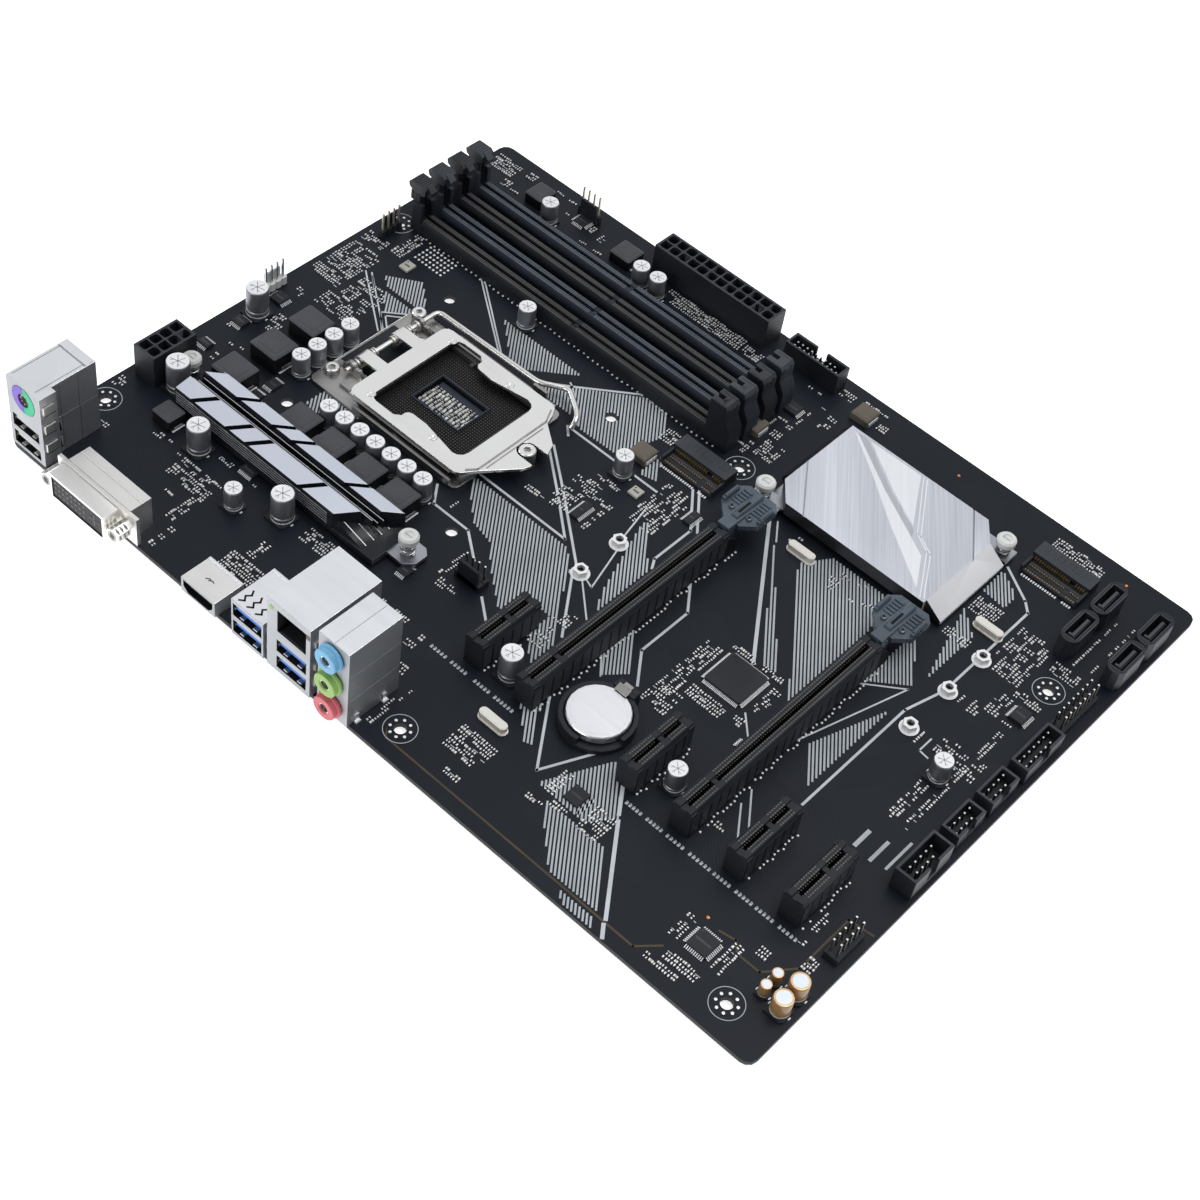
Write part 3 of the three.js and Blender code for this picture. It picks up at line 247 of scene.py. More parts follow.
BRUSH_TURN = math.radians(37)
LOOKS = {
    "mask": mask_material(),
    "silk": moulded("silk_ink", (0.6, 0.64, 0.68), 0.6, 0.12, 3000.0, 0.1),
    "silk_dim": moulded("silk_ink_dim", (0.5, 0.54, 0.57), 0.6, 0.12, 3000.0, 0.1),
    "audio_ink": moulded("audio_ink", (0.075, 0.058, 0.03), 0.5, 0.15),
    "black": moulded("black_plastic", (0.018, 0.0205, 0.027), 0.48),
    # Painted shade: near-black for the insides of wells, bores, slits and cavities; also the dark seam lines
    # on the ports.
    "deep": moulded("recess_shade_and_seam_black", (0.004, 0.004, 0.005), 0.7),
    # Slate plastic; also a lighter copy of black plastic for top faces, as painted highlight.
    "slate": moulded("slate_plastic", (0.045, 0.05, 0.06), 0.5),
    # Painted highlight: a much lighter copy of the slot plastic for the fine combs on top of the slots.
    "comb_black": moulded("slot_comb_highlight", (0.135, 0.132, 0.125), 0.45),
    "slot_dark": moulded("slot_dark", (0.0165, 0.019, 0.025), 0.45),
    "slot_slate": moulded("slot_slate", (0.028, 0.035, 0.047), 0.45),
    # Painted highlight: lighter copies of the slot plastic for top faces.
    "head_dark": moulded("dark_grey_lit_tops", (0.04, 0.044, 0.05), 0.5),
    "head_slate": moulded("light_slate_and_lit_tops", (0.065, 0.073, 0.085), 0.5),
    "comb_slate": moulded("slot_comb_slate_highlight", (0.17, 0.2, 0.24), 0.45),
    "socket": moulded("socket_plastic", (0.05, 0.047, 0.046), 0.55),
    "socket_rim": moulded("socket_rim", (0.03, 0.037, 0.055), 0.4),
    "white": moulded("white_nylon", (0.78, 0.8, 0.78), 0.45, 0.05),
    "ivory": moulded("pale_header", (0.55, 0.57, 0.56), 0.5, 0.08),
    "latch": moulded("latch_plastic", (0.066, 0.09, 0.12), 0.25, 0.3, 700.0, 0.35, 0.5, Coat_Weight=0.5),
    "epoxy": moulded("chip_epoxy", (0.019, 0.0215, 0.027), 0.5, 0.15),
    "chip_mark": moulded("chip_worn_top", (0.055, 0.056, 0.06), 0.5, 0.3),
    "ferrite": moulded("ferrite_grey", (0.075, 0.078, 0.088), 0.62, 0.12, 900.0, 0.4),
    "ferrite_side": moulded("ferrite_side", (0.01, 0.01, 0.012), 0.4),
    "tan": moulded("ceramic_tan", (0.15, 0.13, 0.105), 0.6, 0.15),
    "pale_ceramic": moulded("pale_ceramic", (0.5, 0.49, 0.45), 0.5, 0.2),
    "blue": moulded("usb_blue", (0.01, 0.16, 0.62), 0.35, 0.15),
    "purple": moulded("port_purple", (0.19, 0.11, 0.55), 0.4, 0.1),
    "green": moulded("port_green", (0.02, 0.5, 0.25), 0.4, 0.1),
    "jack_blue": moulded("jack_blue", (0.18, 0.45, 0.7), 0.38, 0.1),
    "jack_green": moulded("jack_green", (0.3, 0.5, 0.14), 0.38, 0.1),
    "jack_pink": moulded("jack_pink", (0.66, 0.15, 0.18), 0.38, 0.1),
    "resin": moulded("laminate_edge", (0.03, 0.032, 0.03), 0.6, 0.3),
    "nickel": metal("polished_nickel", (1.0, 0.975, 0.94), 0.26, bump=0.03, spread=0.03, scale=110.0),
    "tin": metal("port_tin", (0.93, 0.94, 0.97), 0.38, (0.05, 1, 1), bump=0.1, spread=0.04),
    # Painted shade: a darker, less metallic copy of the port tin for housing faces that look to -y.
    "tin_face": metal("port_tin_front_shade", (0.46, 0.475, 0.5), 0.5, (0.05, 1, 1), bump=0.1, fill=0.25),
    "tin_warm": metal("port_tin_warm", (0.93, 0.915, 0.885), 0.36, (0.05, 1, 1), bump=0.1, spread=0.05),
    # Painted shade: a darker copy of the port tin for housing sides that face +x; also used for seam lines
    # and coil straps.
    "tin_dark": metal("port_tin_seams_and_side_shade", (0.31, 0.325, 0.35), 0.32, (1, 0.05, 1), fill=0.6),
    "steel": metal("frame_steel", (0.42, 0.41, 0.4), 0.34, (0.1, 1, 1)),
    "wire_steel": metal("spring_steel", (0.55, 0.56, 0.58), 0.3),
    "solder": metal("solder_silver", (0.97, 0.98, 1.0), 0.36, spread=0.05, scale=900.0, fill=0.35),
    "copper": metal("bare_copper", (0.8, 0.33, 0.14), 0.35, fill=0.5),
    "gold": metal("gold_contact", (0.78, 0.58, 0.28), 0.28),
    # Painted shade: dimmer gold for contacts down in the power wells and in the back rows under the M.2
    # housing.
    "copper_dim": metal("gold_in_shade", (0.3, 0.22, 0.13), 0.4),
    "land": metal("socket_land", (0.16, 0.15, 0.14), 0.4),
    "can": metal("capacitor_can", (0.3, 0.31, 0.34), 0.38, (1, 1, 0.02), spread=0.06, fill=0.8),
    "can_top": metal("capacitor_top", (0.97, 0.98, 1.0), 0.45, spread=0.03, scale=900.0, bump=0.9, fill=0.12),
    "crystal": metal("crystal_can", (0.9, 0.87, 0.8), 0.3, spread=0.03, bump=0.03, fill=0.4),
    "cell": metal("cell_steel", (0.93, 0.93, 0.96), 0.34, (0.03, 1, 1), scale=900.0, spread=0.03),
    "facet": metal("sink_facet", (0.78, 0.81, 0.9), 0.45, (0.02, 1, 1), scale=1400.0, spread=0.03),
    "sink_black": moulded("sink_anodised", (0.012, 0.013, 0.017), 0.3, 0.2),
    "sink_edge": metal("sink_edge", (0.7, 0.72, 0.76), 0.35, fill=0.6),
    "sink_tab": metal("sink_tab", (0.45, 0.46, 0.5), 0.35, (0.05, 1, 1)),
    # Painted shade: a dark copy of the cap's aluminium for its sides.
    "cap_side": metal("cap_side_painted_shade", (0.12, 0.12, 0.13), 0.4, (0.05, 1, 1)),
    # Painted highlight: a near-white, part-metallic copy of the aluminium for the sloped end facing +x.
    "cap_slope": metal("cap_slope_painted_highlight", (0.95, 0.95, 0.98), 0.45, (0.05, 1, 1), spread=0.02, fill=0.3),
    "gold_sleeve": moulded("gold_sleeve", (0.3, 0.17, 0.07), 0.35, 0.12, Coat_Weight=0.5),
    "gold_lid": metal("gold_lid", (0.8, 0.86, 0.95), 0.35, spread=0.03, fill=0.5),
    "gold_rim": metal("gold_rim", (0.85, 0.6, 0.33), 0.35, spread=0.05, fill=0.6),
    "pin": metal("header_pin", (0.75, 0.7, 0.6), 0.3, fill=0.7),
    "brushed": brushed_with_painted_bands("brushed_cap", (0.82, 0.84, 0.91), (0.54, 0.56, 0.61), BRUSH_TURN),
    "band": brushed_with_painted_bands("brushed_band", (1.0, 1.0, 1.0), (0.88, 0.9, 0.95), BRUSH_TURN),
    "band_grey": brushed_with_painted_bands("brushed_band_grey", (0.6, 0.61, 0.66), (0.5, 0.51, 0.55), BRUSH_TURN),
}


# ---- Mesh kit ----------------------------------------------------------------
class Shape:
    """Closed shapes collected into one piece, each with its look."""

    def __init__(self):
        self.points = []
        self.faces = []
        self.marks = []
        self.palette = []

    def add(self, points, faces, look):
        if look not in self.palette:
            self.palette.append(look)
        mark = self.palette.index(look)
        first = len(self.points)
        self.points.extend(points)
        for face in faces:
            self.faces.append([first + i for i in face])
            self.marks.append(mark)

    def prism(self, outline, ends, look, axis="z", top=None):
        """An outline pushed along an axis. top is the outline at the far end, if it differs."""
        n = len(outline)
        rings = [(outline, ends[0]), (top or outline, ends[1])]
        area = sum(a[0] * b[1] - b[0] * a[1] for a, b in zip(outline, outline[1:] + outline[:1]))
        points = []
        for ring, w in rings:
            points += [place(u, v, w, axis) for u, v in ring]
        faces = [list(range(n))[::-1], list(range(n, 2 * n))]
        faces += [[i, (i + 1) % n, n + (i + 1) % n, n + i] for i in range(n)]
        if (area < 0) != (axis == "y"):
            faces = [face[::-1] for face in faces]
        self.add(points, faces, look)

    def box(self, x, y, z, look, chamfer=0.0):
        """A box from its three ranges, with the top edges cut if chamfer is more than 0."""
        base = [(x[0], y[0]), (x[1], y[0]), (x[1], y[1]), (x[0], y[1])]
        if not chamfer:
            self.prism(base, z, look)
            return
        c = chamfer
        crown = [(x[0] + c, y[0] + c), (x[1] - c, y[0] + c), (x[1] - c, y[1] - c), (x[0] + c, y[1] - c)]
        points = [(u, v, z[0]) for u, v in base] + [(u, v, z[1] - c) for u, v in base] + [(u, v, z[1]) for u,
            v in crown]
        faces = [[3, 2, 1, 0], [8, 9, 10, 11]]
        for k in (0, 4):
            faces += [[k + i, k + (i + 1) % 4, k + 4 + (i + 1) % 4, k + 4 + i] for i in range(4)]
        self.add(points, faces, look)

    def block(self, x, y, a, b, z, look, chamfer=0.0):
        """A box from its middle, its half sizes a and b, and its range in z."""
        self.box(span(x, a), span(y, b), z, look, chamfer)

    def turned(self, centre, profile, look, sides=20, axis="z"):
        """A round shape about an axis through centre, from [radius, height] points, low to high."""
        points, faces, rings = [], [], []
        for r, w in profile:
            if r < 1e-6:
                rings.append([len(points)])
                points.append(place(centre[0], centre[1], w, axis))
                continue
            rings.append(list(range(len(points), len(points) + sides)))
            for i in range(sides):
                a = 2 * math.pi * i / sides
                points.append(place(centre[0] + r * math.cos(a), centre[1] + r * math.sin(a), w, axis))
        for low, high in zip(rings, rings[1:]):
            for i in range(sides):
                j = (i + 1) % sides
                if len(low) == 1:
                    faces.append([low[0], high[j], high[i]])
                elif len(high) == 1:
                    faces.append([low[i], low[j], high[0]])
                else:
                    faces.append([low[i], low[j], high[j], high[i]])
        if len(rings[0]) > 1:
            faces.append(rings[0][::-1])
        if len(rings[-1]) > 1:
            faces.append(rings[-1])
        if axis == "y":
            faces = [face[::-1] for face in faces]
        self.add(points, faces, look)

    def ring(self, centre, inner, outer, ends, look, sides=28, axis="z"):
        """A flat ring or short tube."""
        points, faces = [], []
        for r, w in ((outer, ends[0]), (outer, ends[1]), (inner, ends[1]), (inner, ends[0])):
            for i in range(sides):
                a = 2 * math.pi * i / sides
                points.append(place(centre[0] + r * math.cos(a), centre[1] + r * math.sin(a), w, axis))
        for k in range(4):
            m = (k + 1) % 4
            for i in range(sides):
                j = (i + 1) % sides
                faces.append([k * sides + i, k * sides + j, m * sides + j, m * sides + i])
        if axis == "y":
            faces = [face[::-1] for face in faces]
        self.add(points, faces, look)

    def wire(self, path, r, look, sides=8):
        """A round wire along a path."""
        path = [Vector(p) for p in path]
        points, faces = [], []
        side = None
        for i, p in enumerate(path):
            ahead = (path[min(i + 1, len(path) - 1)] - path[max(i - 1, 0)]).normalized()
            if side is None:
                side = ahead.orthogonal().normalized()
            side = (side - ahead * side.dot(ahead)).normalized()
            other = ahead.cross(side)
            for k in range(sides):
                a = 2 * math.pi * k / sides
                points.append(tuple(p + r * (math.cos(a) * side + math.sin(a) * other)))
        for i in range(len(path) - 1):
            for k in range(sides):
                j = (k + 1) % sides
                faces.append([i * sides + k, i * sides + j, (i + 1) * sides + j, (i + 1) * sides + k])
        faces.append(list(range(sides))[::-1])
        faces.append([(len(path) - 1) * sides + k for k in range(sides)])
        self.add(points, faces, look)

    def strip(self, path, width, ends, look):
        """A flat line of a width along a path in the plane."""
        for (x0, y0), (x1, y1) in zip(path, path[1:]):
            along = Vector((x1 - x0, y1 - y0)).normalized() * width / 2
            nx, ny = -along.y, along.x
            ex, ey = along.x, along.y
            self.prism(
                [(x0 - ex + nx, y0 - ey + ny), (x0 - ex - nx, y0 - ey - ny),
                 (x1 + ex - nx, y1 + ey - ny), (x1 + ex + nx, y1 + ey + ny)],
                ends, look)

    def made(self, name, slot, body="root", bevel=0.0, steps=2, sharp=35.0):
        """Builds the piece, in the row's frame, riding on a body."""
        mesh = bpy.data.meshes.new(name)
        mesh.from_pydata([tuple(ORIGIN + Vector(p) * MM) for p in self.points], [], self.faces)
        for look in self.palette:
            mesh.materials.append(LOOKS[look])
        mesh.polygons.foreach_set("material_index", self.marks)
        mesh.update()
        return finished(mesh, name, slot, body, bevel, steps, sharp)


def place(u, v, w, axis):
    """A point from outline coordinates: (u, v) lie across the axis and w runs along it."""
    if axis == "x":
        return (w, u, v)
    if axis == "y":
        return (u, w, v)
    return (u, v, w)


ROUNDED_FROM = math.radians(32)  # only edges sharper than this are rounded
FEWEST_SPLIT = 5  # faces with this many corners or more become triangles before that
WELD_M = 1e-6
FLAT = math.radians(1.0)


def finished(mesh, name, slot, body, bevel, steps=2, sharp=35.0):
    made = bpy.data.objects.new(name, mesh)
    bpy.context.scene.collection.objects.link(made)
    mesh.polygons.foreach_set("use_smooth", [True] * len(mesh.polygons))
    mesh.set_sharp_from_angle(angle=math.radians(sharp))
    if bevel:
        split = made.modifiers.new("split", "TRIANGULATE")
        split.min_vertices = FEWEST_SPLIT
        cut = made.modifiers.new("edges", "BEVEL")
        cut.width = bevel * MM
        cut.segments = steps
        cut.limit_method = "ANGLE"
        cut.angle_limit = ROUNDED_FROM
        cut.harden_normals = True
        cut.miter_outer = "MITER_ARC"
    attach(made, body)
    return made


BODY_OF = {member: body for body, members in frame["record"]["behaviour"]["bodies"].items()
    for member in members}
SLOT_OF = {part["node"]: part["material_slot"] for part in frame["record"]["subparts"]}


def refined(name, looks, bevel=0.12, steps=2, pick=None, sharp=32.0):
    """A finished copy of a CAD node: faces joined, edges rounded, and a look for each face."""
    source = frame["nodes"][name]
    mesh = source.data.copy()
    mesh.name = name + "_skin"
    work = bmesh.new()
    work.from_mesh(mesh)
    bmesh.ops.remove_doubles(work, verts=work.verts, dist=WELD_M)
    bmesh.ops.dissolve_limit(work, angle_limit=FLAT, verts=work.verts, edges=work.edges)
    work.to_mesh(mesh)
    work.free()
    mesh.materials.clear()
    for look in looks:
        mesh.materials.append(LOOKS[look])
    for polygon in mesh.polygons:
        polygon.material_index = 0
        if pick:
            spot = (polygon.center - ORIGIN) / MM
            polygon.material_index = pick(spot, polygon.normal)
    made = finished(mesh, name + "_skin", SLOT_OF[name], BODY_OF[name], bevel, steps, sharp)
    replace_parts(made, name)
    return made


def arc(u, v, r, a0, a1, steps):
    spots = [math.radians(a0 + (a1 - a0) * i / steps) for i in range(steps + 1)]
    return [(u + r * math.cos(a), v + r * math.sin(a)) for a in spots]


def rounded(x, y, r, steps=4):
    return (arc(x[1] - r, y[0] + r, r, -90, 0, steps) + arc(x[1] - r, y[1] - r, r, 0, 90, steps)
            + arc(x[0] + r, y[1] - r, r, 90, 180, steps) + arc(x[0] + r, y[0] + r, r, 180, 270, steps))


# ---- Camera, floor and light -------------------------------------------------
def camera():
    data = bpy.data.cameras.new("camera")
    data.lens = 65.68
    data.sensor_width = 36.0
    data.clip_start = 0.01
    data.clip_end = 20.0
    made = bpy.data.objects.new("camera", data)
    bpy.context.scene.collection.objects.link(made)
    right = Vector((0.73644, 0.66631, 0.11696))
    down = Vector((0.57013, -0.51825, -0.63747))
    forward = Vector((-0.36414, 0.53614, -0.76155))
    spot = ORIGIN + Vector((262.85, -384.03, 511.79)) * MM
    turn = Matrix((right, -down, -forward)).transposed().to_4x4()
    made.matrix_world = Matrix.Translation(spot) @ turn
    bpy.context.scene.camera = made


def area_light(name, spot, aim, size, power):
    data = bpy.data.lights.new(name, "AREA")
    data.shape = "RECTANGLE"
    data.size, data.size_y = size
    data.energy = power
    made = bpy.data.objects.new(name, data)
    bpy.context.scene.collection.objects.link(made)
    made.location = spot
    made.rotation_euler = (Vector(aim) - Vector(spot)).to_track_quat("-Z", "Y").to_euler()


def sky():
    """A soft studio sky: brightest above and behind the board, dim low down and behind the camera."""
    world = bpy.data.worlds.new("studio")
    world.use_nodes = True
    tree = world.node_tree
    back = tree.nodes["Background"]
    back.inputs["Color"].default_value = (0.95, 0.97, 1.0, 1)
    coords = node(tree, "TexCoord")
    dot = node(tree, "VectorMath", operation="DOT_PRODUCT")
    tree.links.new(coords.outputs["Generated"], dot.inputs[0])
    dot.inputs[1].default_value = (-0.42, 0.62, 0.66)
    curve = shades(tree, between(tree, dot.outputs["Value"], 0.0, 1.0),
        [(0.0, (0.16,) * 3), (0.45, (0.3,) * 3), (1.0, (0.75,) * 3)])
    tree.links.new(curve, back.inputs["Strength"])
    bpy.context.scene.world = world


def studio():
    sky()
    bpy.context.scene.view_settings.view_transform = "Standard"
    floor = bpy.data.meshes.new("floor")
    reach = 6.0
    floor.from_pydata([(-reach, -reach, 0), (reach, -reach, 0), (reach, reach, 0), (-reach, reach, 0)], [],
        [(0, 1, 2, 3)])
    mat, tree, shader = new_material("floor_paint", 0.0, 0.9)
    soft = noise(tree, mapped(tree), 3.0, 2.0)
    tree.links.new(shades(tree, soft, [(0.0, (0.93, 0.93, 0.93)), (1.0, (0.95, 0.95, 0.95))]),
        shader.inputs["Base Color"])
    shader.inputs["Emission Color"].default_value = (1, 1, 1, 1)
    shader.inputs["Emission Strength"].default_value = 0.8
    floor.materials.append(mat)
    made = bpy.data.objects.new("floor", floor)
    bpy.context.scene.collection.objects.link(made)
    area_light("key_light", (0.35, 0.2, 1.4), (0, 0, 0), (1.0, 0.8), 9.0)
    area_light("front_light", (-0.2, -1.2, 0.6), (-0.06, -0.06, 0.02), (1.0, 0.5), 4.2)
    area_light("side_light", (-1.3, -0.5, 0.5), (0, 0, 0.02), (0.6, 0.4), 2.0)


# ---- Printed lines and hatching ----------------------------------------------
INK = (0.0, 0.045)
HATCH_SLOPE = math.radians(-53)
HATCH_PITCH = 1.13
HATCH_WIDTH = 0.6
HATCHED = [
    [(-30, 53.5), (-20.5, 53), (-14.5, 43.5), (-17, 35), (-20, 26), (-36, 25.5), (-50, 38)],
    [(-88, 44.5), (-51.5, 44.5), (-67, 31.5), (-73, 31.5)],
    [(-119, 36.5), (-130, 29), (-126, 25.6), (-110, 25.6), (-110, 29)],
    [(-125, 23.6), (-117, 15.5), (-110, 22), (-110, 23.6)],
    [(-9, 37), (-2.6, 27), (-8, 25.5), (-9.5, 27)],
    [(-59, 31), (-49.5, 37.5), (-41.5, 28), (-58, 28)],
    [(-44, -15.5), (-3, -15.5), (4, -22), (10, -33), (20.5, -47), (20.5, -58), (12, -50), (12, -40),
        (0, -39.5), (0, -50),
     (-14, -39), (-21, -32), (-30, -30), (-41, -20.5)],
    [(6, 12.5), (20.5, -4), (20.5, -29), (16, -20), (6.5, 8)],
    [(33, -24), (44, -38), (38, -45), (33, -40)],
    [(28, -70), (33, -66), (41.5, -79), (39, -80)],
    [(62, -65.5), (69, -71), (76, -80), (70, -88), (51.5, -87.5)],
    [(57, -90), (80, -90), (92, -107), (74, -107), (63, -97)],
    [(79, -109.2), (93.4, -109.2), (95, -112.2), (84, -112.2)],
    [(50.5, 34.5), (57, 44.5), (78, 44.5), (83, 30), (83, -11)],
    [(38, 37), (42, 33), (74, -5), (69, -6)],
    [(93.5, 39.5), (106, 22.5), (93.5, 12)],
    [(106.5, 10), (106.5, -32), (97, -19)],
    [(97.5, 82), (107, 76), (107, 69), (98, 70)],
    [(98, 60), (107, 52), (107, 27)],
    [(-103, -24), (-82, -21.5), (-88, -27), (-99, -35), (-103, -33)],
]
THIN, THICK = 0.55, 0.85
LINES = [
    (THIN, [(-107.5, 53.2), (-77.5, 31)]), (THIN, [(-105.6, 53.2), (-76.2, 31)]),
    (THIN, [(-136, 25.5), (-112, 8)]), (THIN, [(-132.6, 25.5), (-110.4, 9)]),
    (THIN, [(-134, 26.5), (-128, 21.8)]),
    (THIN, [(-110, 22), (-118, 15), (-110, 8)]), (THIN, [(-110, 19.6), (-115.6, 15), (-110, 10.4)]),
    (THICK, [(-60, 31), (-50.6, 38), (-32.5, 53)]), (THIN, [(-52, 39), (-50, 38), (-39, 28)]),
    (THICK, [(-37, 23.5), (0, 23.5)]), (THICK, [(-39, 23.5), (-36, 20.5)]),
    (THICK, [(-38, 13), (-20, -1.6), (-6, -13.5), (-44, -13.5)]),
    (THICK, [(-36, 13.6), (-20.6, 1.4), (4, -19)]),
    (THICK, [(-49, -27), (-44, -33.5), (-29, -33.5), (-19, -41)]), (THICK, [(-7, -50), (0, -55.5)]),
    (THICK, [(5, -22), (20, -43)]), (THIN, [(8, -21), (20.5, -32.5)]),
    (THIN, [(2.5, 16), (6, 0)]), (THIN, [(8, -4), (13, -22), (9, -20.5)]),
    (THICK, [(9, 34.5), (20.5, 20)]), (THICK, [(7.5, 33), (18.5, 19), (18.5, 1.5), (20.5, -2)]),
    (THICK, [(33, 2), (40, -7.5), (40, -29), (48, -40)]), (THIN, [(33, -39.5), (38, -45.5)]),
    (THICK, [(33, -62.5), (48.5, -84.5), (57, -66)]),
    (1.2, [(69, -70), (75, -78.5)]), (1.2, [(76.5, -80.5), (95.6, -107)]),
    (1.2, [(96.4, -108.8), (98.8, -112)]),
    (1.2, [(31.5, 43.5), (66.5, -7.5)]), (THIN, [(35, 43.2), (40, 36.2)]), (THIN, [(77, -24), (83, -30)]),
    (THIN, [(93.5, 10.5), (105.5, 20), (94, -20)]),
    (THICK, [(98, 84), (110, 76.6), (113.5, 73), (113.5, 28), (109.5, 13), (109.5, -37)]),
    (THIN, [(96, -44), (104, -55)]), (THIN, [(97, -50), (104, -60)]),
    (THIN, [(121.6, 10), (121.6, 4), (125, 3.6)]), (THIN, [(-151.5, 49), (-146, 45)]),
]
AUDIO_LINES = [
    [(8, -104), (10.5, -108), (106.5, -108), (112, -102)],
    [(120, -87), (125, -86), (128, -89), (136, -89), (143, -80), (143, -58), (151, -57)],
]
DASH_ROWS = [((-4, 10), -74.6), ((14, 29), -74.6), ((74, 87), -74), ((89.5, 105), -74), ((107, 120.5), -74),
    ((122.5, 136.5), -74)]


SOCKET_X, SOCKET_Y = centre("cpu_socket")
COOLER_HALF = 37.5
COOLER_HOLES = [(x, y) for x in span(SOCKET_X, COOLER_HALF) for y in span(SOCKET_Y, COOLER_HALF)]
HOLE_MARGIN = 2.3


def hatch(shape, outline):
    """Fills an outline with parallel printed lines: each is cut where it crosses the outline."""
    ux, uy = math.cos(HATCH_SLOPE), math.sin(HATCH_SLOPE)
    nx, ny = -uy, ux
    offsets = [x * nx + y * ny for x, y in outline]
    k = math.ceil(min(offsets) / HATCH_PITCH)
    while k * HATCH_PITCH < max(offsets):
        d = k * HATCH_PITCH
        cuts = []
        for (x0, y0), (x1, y1) in zip(outline, outline[1:] + outline[:1]):
            d0, d1 = x0 * nx + y0 * ny - d, x1 * nx + y1 * ny - d
            if (d0 < 0) != (d1 < 0):
                t = d0 / (d0 - d1)
                cuts.append((x0 + t * (x1 - x0)) * ux + (y0 + t * (y1 - y0)) * uy)
        cuts.sort()
        for x, y in COOLER_HOLES:
            half = HOLE_MARGIN ** 2 - (x * nx + y * ny - d) ** 2
            along = x * ux + y * uy
            if half > 0 and any(a < along < b for a, b in zip(cuts[::2], cuts[1::2])):
                cuts = sorted(cuts + [along - math.sqrt(half), along + math.sqrt(half)])
        for a, b in zip(cuts[::2], cuts[1::2]):
            if b - a > 1.0:
                ends = [(d * nx + s * ux, d * ny + s * uy) for s in (a + 0.3, b - 0.3)]
                shape.strip(ends, HATCH_WIDTH, INK, "silk_dim")
        k += 1


def printed():
    fill = Shape()
    for outline in HATCHED:
        hatch(fill, outline)
    fill.made("printed_hatching", "silk_print")
    lines = Shape()
    for width, path in LINES:
        lines.strip(path, width, (0.0, 0.06), "silk")
    for (x0, x1), y in DASH_ROWS:
        for k, x in enumerate(steps_between(x0, x1, 1.35)):
            if k % 7 != 5:
                lines.block(x, y, 0.42, 0.55, INK, "silk_dim")
                lines.box((x - 0.42, x + 0.1), (y + 0.3, y + 0.75), INK, "silk")
    for x, y0, y1, width in ((128.8, -36.6, -30.4, 1.4), (135, -37.6, -29.4, 1.2), (140, -36.6, -24.6, 0.9)):
        lines.strip([(x, y0), (x, y1)], width, INK, "silk_dim")
    for x, y in SCREW_HOLES:
        lines.ring((x, y), 5.05, 5.27, (0.0, 0.06), "silk_dim", 40)
    lines.strip([(66.8, -86.6), (66.8, -80.6)], 1.1, INK, "silk")
    lines.made("printed_lines", "silk_print")
    track = Shape()
    for path in AUDIO_LINES:
        track.strip(path, 0.7, INK, "audio_ink")
    track.made("audio_track", "gold_contact")


# ---- Small parts -------------------------------------------------------------
SCREW_HOLES = [(135.89, -102.84), (11.43, -102.84), (-146.05, -79.98), (135.89, 52.1), (11.43, 52.1),
    (-146.05, 52.1)]
